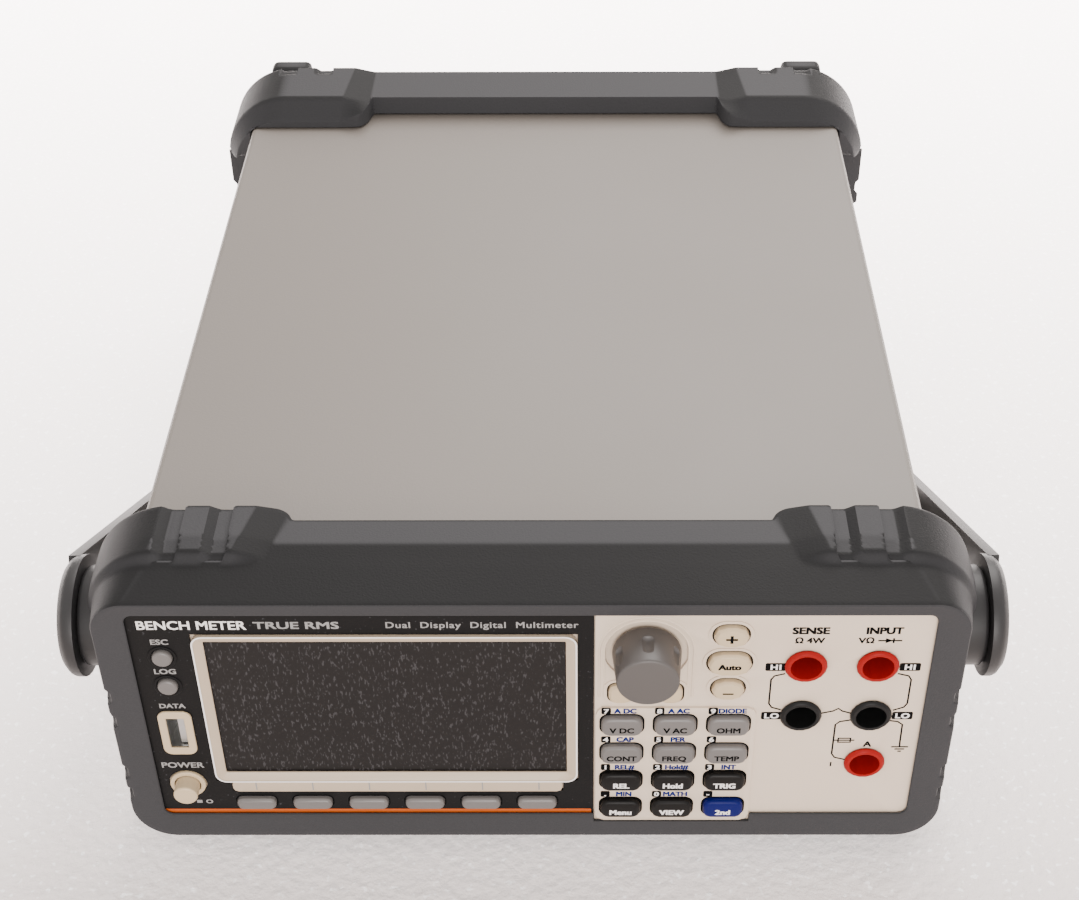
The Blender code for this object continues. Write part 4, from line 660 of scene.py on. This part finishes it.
for number, ((place, text), tag, blue) in enumerate(zip(key_words, tags, blue_words)):
    node = f"keypad_key_{place}"
    x, z = middle_of(node)
    dark = key_finishes[node] is not grey_key
    ink, slot, bold = (white_ink, "dark_key", 0.13) if dark else (black_ink, "grey_key", 0.09)
    word(f"{node}_word", text, x, z - 0.75, 1.95, ink, node, bold=bold, squeeze=1.05)
    tag_z = z + 5.15
    shape(f"{node}_tag", (rounded(2.6, 2.5, 0.5),), x - 4.35, tag_z, black_ink, y=pod_print)
    word(f"{node}_digit", tag, x - 4.35, tag_z, 1.7, white_ink, bold=0.10, squeeze=1.15)
    if blue:
        word(f"{node}_second", blue, x + 0.9, tag_z, 1.8, blue_ink, bold=0.12, squeeze=1.0)
for node, text, height in (
    ("range_up_key", "+", 3.9), ("auto_key", "Auto", 1.9), ("range_down_key", "\u2013", 3.3),
):
    x, z = middle_of(node)
    word(f"{node}_word", text, x, z - 0.1, height, black_ink, node, bold=0.15, squeeze=1.1)


# The knob: grey plastic with six flutes, pushed on its steel shaft.
knob_plastic = finish("knob_plastic_skin", (0.062, 0.056, 0.053), 0.42, 0.0005, 0.00001, shade=0.03)
knob_low, knob_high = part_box("knob")
knob_x, knob_z = middle_of("knob")
knob_base, knob_face = (knob_high.x - knob_low.x) / 2 / MM, 8.2
knob_front, knob_back = knob_low.y / MM, knob_high.y / MM


def capped_knob():
    """A tapered cap with flutes that run out before its face, hollow from behind."""
    bpy.ops.object.select_all(action="DESELECT")
    bpy.ops.mesh.primitive_cone_add(
        vertices=120, radius1=knob_base * MM, radius2=knob_face * MM, depth=(knob_back - knob_front) * MM,
        rotation=(math.radians(90), 0.0, 0.0),
        location=(knob_x * MM, (knob_front + knob_back) / 2 * MM, knob_z * MM),
    )
    cap = bpy.context.active_object
    cap.name = "knob_skin"
    bpy.ops.object.transform_apply(location=True, rotation=True, scale=True)
    round_edges(cap, 0.7 * MM, 4, limit=50.0)
    for i in range(6):
        angle = math.radians(90 + 60 * i)
        x, z = knob_x + 9.95 * math.cos(angle), knob_z + 9.95 * math.sin(angle)
        first, last = knob_front + 2.6, knob_back - 3.2
        bpy.ops.mesh.primitive_cylinder_add(
            vertices=32, radius=2.1 * MM, depth=(last - first) * MM, rotation=(math.radians(90), 0.0, 0.0),
            location=(x * MM, (first + last) / 2 * MM, z * MM),
        )
        tool = bpy.context.active_object
        round_edges(tool, 1.3 * MM, 6)
        cut_away(cap, tool)
    bpy.ops.mesh.primitive_cylinder_add(
        vertices=48, radius=7.0 * MM, depth=(knob_back - knob_front - 3.0) * MM,
        rotation=(math.radians(90), 0.0, 0.0),
        location=(knob_x * MM, ((knob_front + knob_back + 3.0) / 2 + 0.1) * MM, knob_z * MM),
    )
    cut_away(cap, bpy.context.active_object)
    bpy.ops.object.shade_smooth_by_angle(angle=math.radians(35))
    cap.data.materials.clear()
    cap.data.materials.append(knob_plastic)
    return cap


knob = capped_knob()
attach(knob, "knob")
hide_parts("knob")


def arch(name, radius, leg, thick):
    """A slim raised line over the knob and down both its sides."""
    angles = [math.radians(180.0 * i / 40) for i in range(41)]
    points = [(radius * math.cos(angle), radius * math.sin(angle)) for angle in angles]
    points = [(radius, -leg)] + points + [(-radius, -leg)]
    line = bpy.data.curves.new(name, "CURVE")
    line.dimensions = "3D"
    line.bevel_depth = thick * MM
    line.bevel_resolution = 2
    spline = line.splines.new("POLY")
    spline.points.add(len(points) - 1)
    for point, (px, pz) in zip(spline.points, points):
        point.co = (px * MM, pz * MM, 0.0, 1.0)
    y = panel_face / MM + thick * 0.35
    made = bpy.data.objects.new(name, line)
    made = settle(made, knob_x, y, knob_z, panel_plastic, "instrument")
    bpy.ops.object.shade_smooth()
    return made


arch("knob_arch_outer", 12.5, 17.0, 0.42)
arch("knob_arch_inner", 11.15, 15.0, 0.28)


# The test lead sockets: shrouded sleeves of red or black plastic with a metal contact inside.
red_plastic = finish(
    "red_socket_plastic", (0.25, 0.0042, 0.0030), 0.33, 0.0006, 0.00001, shade=0.03, shine=0.12,
)
black_plastic = finish(
    "black_moulded_plastic", (0.0045, 0.0045, 0.0045), 0.36, 0.0006, 0.00001, shade=0.05, shine=0.2,
)
for node, made_of in (
    ("sense_high_socket", red_plastic), ("input_high_socket", red_plastic), ("current_socket", red_plastic),
    ("sense_low_socket", black_plastic), ("input_low_socket", black_plastic),
):
    softened(node, f"{node}_sleeve", "instrument", made_of, 0.4 * MM, 3, limit=30.0, smooth=50.0)
for name, text, x, z, height, bold, wide in (
    ("sense_word", "SENSE", 73.1, 90.9, 2.4, 0.17, 1.08),
    ("sense_unit", "\u03a9 4W", 73.0, 87.3, 2.0, 0.10, 1.08),
    ("input_word", "INPUT", 92.3, 90.9, 2.4, 0.17, 1.02),
    ("input_unit", "V\u03a9", 87.9, 87.3, 2.0, 0.10, 1.1),
    ("current_word", "A", 92.0, 47.2, 2.1, 0.12, 1.1), ("current_sign", "I", 82.6, 38.9, 1.7, 0.10, 1.1),
):
    word(name, text, x, z, height, black_ink, bold=bold, squeeze=wide)
for name, text, x, z in (
    ("sense_high_tag", "HI", 64.8, 77.4), ("input_high_tag", "HI", 100.4, 77.4),
    ("sense_low_tag", "LO", 64.8, 58.6), ("input_low_tag", "LO", 100.4, 58.6),
):
    shape(name, (rounded(5.6, 2.9, 0.5),), x, z, black_ink, y=panel_print)
    word(f"{name}_word", text, x, z, 1.9, white_ink, bold=0.12, squeeze=1.1, spread=1.15)
for name, points in (
    ("sense_link", ((67.4, 74.9), (64.6, 74.0), (63.8, 72.6), (63.8, 63.4), (64.6, 61.9), (67.2, 60.9))),
    ("input_link", ((97.4, 74.9), (100.4, 74.0), (101.2, 72.6), (101.2, 63.4), (100.4, 61.9), (97.6, 60.7))),
    ("low_link", ((78.2, 59.5), (81.4, 60.4), (82.8, 61.4), (83.9, 60.4), (86.4, 59.5))),
    ("current_link", ((86.7, 56.9), (83.6, 56.2), (82.5, 55.0), (82.5, 43.2), (83.4, 41.7), (86.3, 40.8))),
    ("ground_link", ((97.0, 56.6), (99.4, 56.2), (100.8, 55.0), (100.9, 47.6), (101.0, 46.2))),
    ("ground_wide", ((98.7, 46.0), (103.4, 46.0))), ("ground_middle", ((99.7, 45.1), (102.4, 45.1))),
    ("ground_narrow", ((100.6, 44.2), (101.6, 44.2))), ("diode_line", ((90.9, 87.2), (97.2, 87.2))),
    ("diode_stop", ((95.0, 88.1), (95.0, 86.3))),
):
    stroke(name, points, 0.48, black_ink)
shape("diode_arrow", (((-1.0, 0.9), (-1.0, -0.9), (0.9, 0.0)),), 93.9, 87.2, black_ink, y=panel_print)
shape("fuse_sign", (rounded(3.8, 2.0, 0.1), rounded(3.0, 1.2, 0.1)), 85.5, 48.7, black_ink, y=panel_print)
stroke("fuse_wire", ((82.7, 48.7), (88.3, 48.7)), 0.42, black_ink)


# The power button in its collar, and the front socket for a memory stick.
softened("power_button", "power_button_cap", "power_button", cream, 0.3 * MM, 3, limit=25.0, smooth=50.0)
softened("power_button_ring", "power_button_collar", "instrument", cream, 0.25 * MM, 3, limit=25.0, smooth=50.0)
dress("usb_host_socket", bare_steel)
usb_x, usb_z = middle_of("usb_host_socket")
shape(
    "usb_surround", (rounded(8.7, 16.4, 2.2), rounded(5.5, 12.2, 0.6)), usb_x, usb_z, cream,
    thick=0.8, edge=0.3, y=panel_face / MM - 0.75,
)
for node in ("escape_key", "log_key"):
    x, z = middle_of(node)
    shape(
        f"{node}_collar", (rounded(7.5, 7.5, 3.74), rounded(6.3, 6.3, 3.14)), x, z, film,
        thick=0.4, edge=0.15, y=panel_face / MM - 0.3,
    )


# The back: a painted plate with a mains inlet, its fuse drawer, and two data sockets.
dress("rear_panel", case_paint)
dress("mains_inlet", black_plastic)
rear_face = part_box("rear_panel")[1].y / MM
# The vent slots are thin dark plates on the back face: painted shadow that stands for the slots' shaded
# insides.
vent_start, vent_pitch, vent_half = -24.0, 4.4, 0.9
for number in range(14):
    x = vent_start + vent_pitch * number
    block(
        f"rear_vent_painted_shadow_{number + 1}", (x - vent_half, x + vent_half), (rear_face - 0.4, rear_face + 0.06),
        (case_low + 50.0, case_low + 74.0), rim_shade, 0.2,
    )


def screw(name, place, radius):
    """A low domed screw head with a cross recess, facing back."""
    bpy.ops.mesh.primitive_cylinder_add(vertices=32, radius=radius * MM, depth=1.4 * MM)
    head = bpy.context.active_object
    head.name = name
    round_edges(head, 0.6 * MM, 4)
    for size in ((radius * 1.2, 0.6, 1.2), (0.6, radius * 1.2, 1.2)):
        half = [value / 2 for value in size]
        carve(head, (-half[0], half[0]), (-half[1], half[1]), (0.7 - half[2], 0.7 + half[2]))
    turn = Vector((0.0, 0.0, 1.0)).rotation_difference(Vector((0.0, 1.0, 0.0))).to_matrix().to_4x4()
    head.data.transform(Matrix.Translation(Vector(place) * MM) @ turn)
    bpy.ops.object.shade_smooth_by_angle(angle=math.radians(40))
    head.data.materials.append(bare_steel)
    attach(head, "instrument")


for side, x in (("left", -95.0), ("right", 95.0)):
    for number, z in enumerate((case_low + 32.0, case_low + 58.0)):
        screw(f"rear_screw_{number + 1}_{side}", (x, rear_face + 0.3, z), 2.7)
dress("fuse_drawer", black_plastic)
dress("lan_socket", bare_steel)
dress("usb_device_socket", bare_steel)


# Inside the case: boards, the encoder, the mains switch and the transformer, seen only when it is opened.
board_mask = finish("green_solder_mask", (0.02, 0.15, 0.06), 0.35, 0.002, 0.00001, shade=0.10)
mat_rubber = finish("key_mat_silicone", (0.33, 0.33, 0.32), 0.6, 0.001, 0.00001)
varnish = finish("varnished_steel", (0.10, 0.09, 0.085), 0.45, 0.001, 0.00002, metallic=0.6)
for node, made_of in (
    ("front_board", board_mask), ("input_board", bare_steel), ("main_board", board_mask),
    ("key_mat", mat_rubber), ("lcd_module", bare_steel), ("encoder_housing", bare_steel),
    ("encoder_rotor", black_plastic), ("encoder_shaft", bare_steel), ("power_switch", black_plastic),
    ("transformer", varnish),
):
    dress(node, made_of)
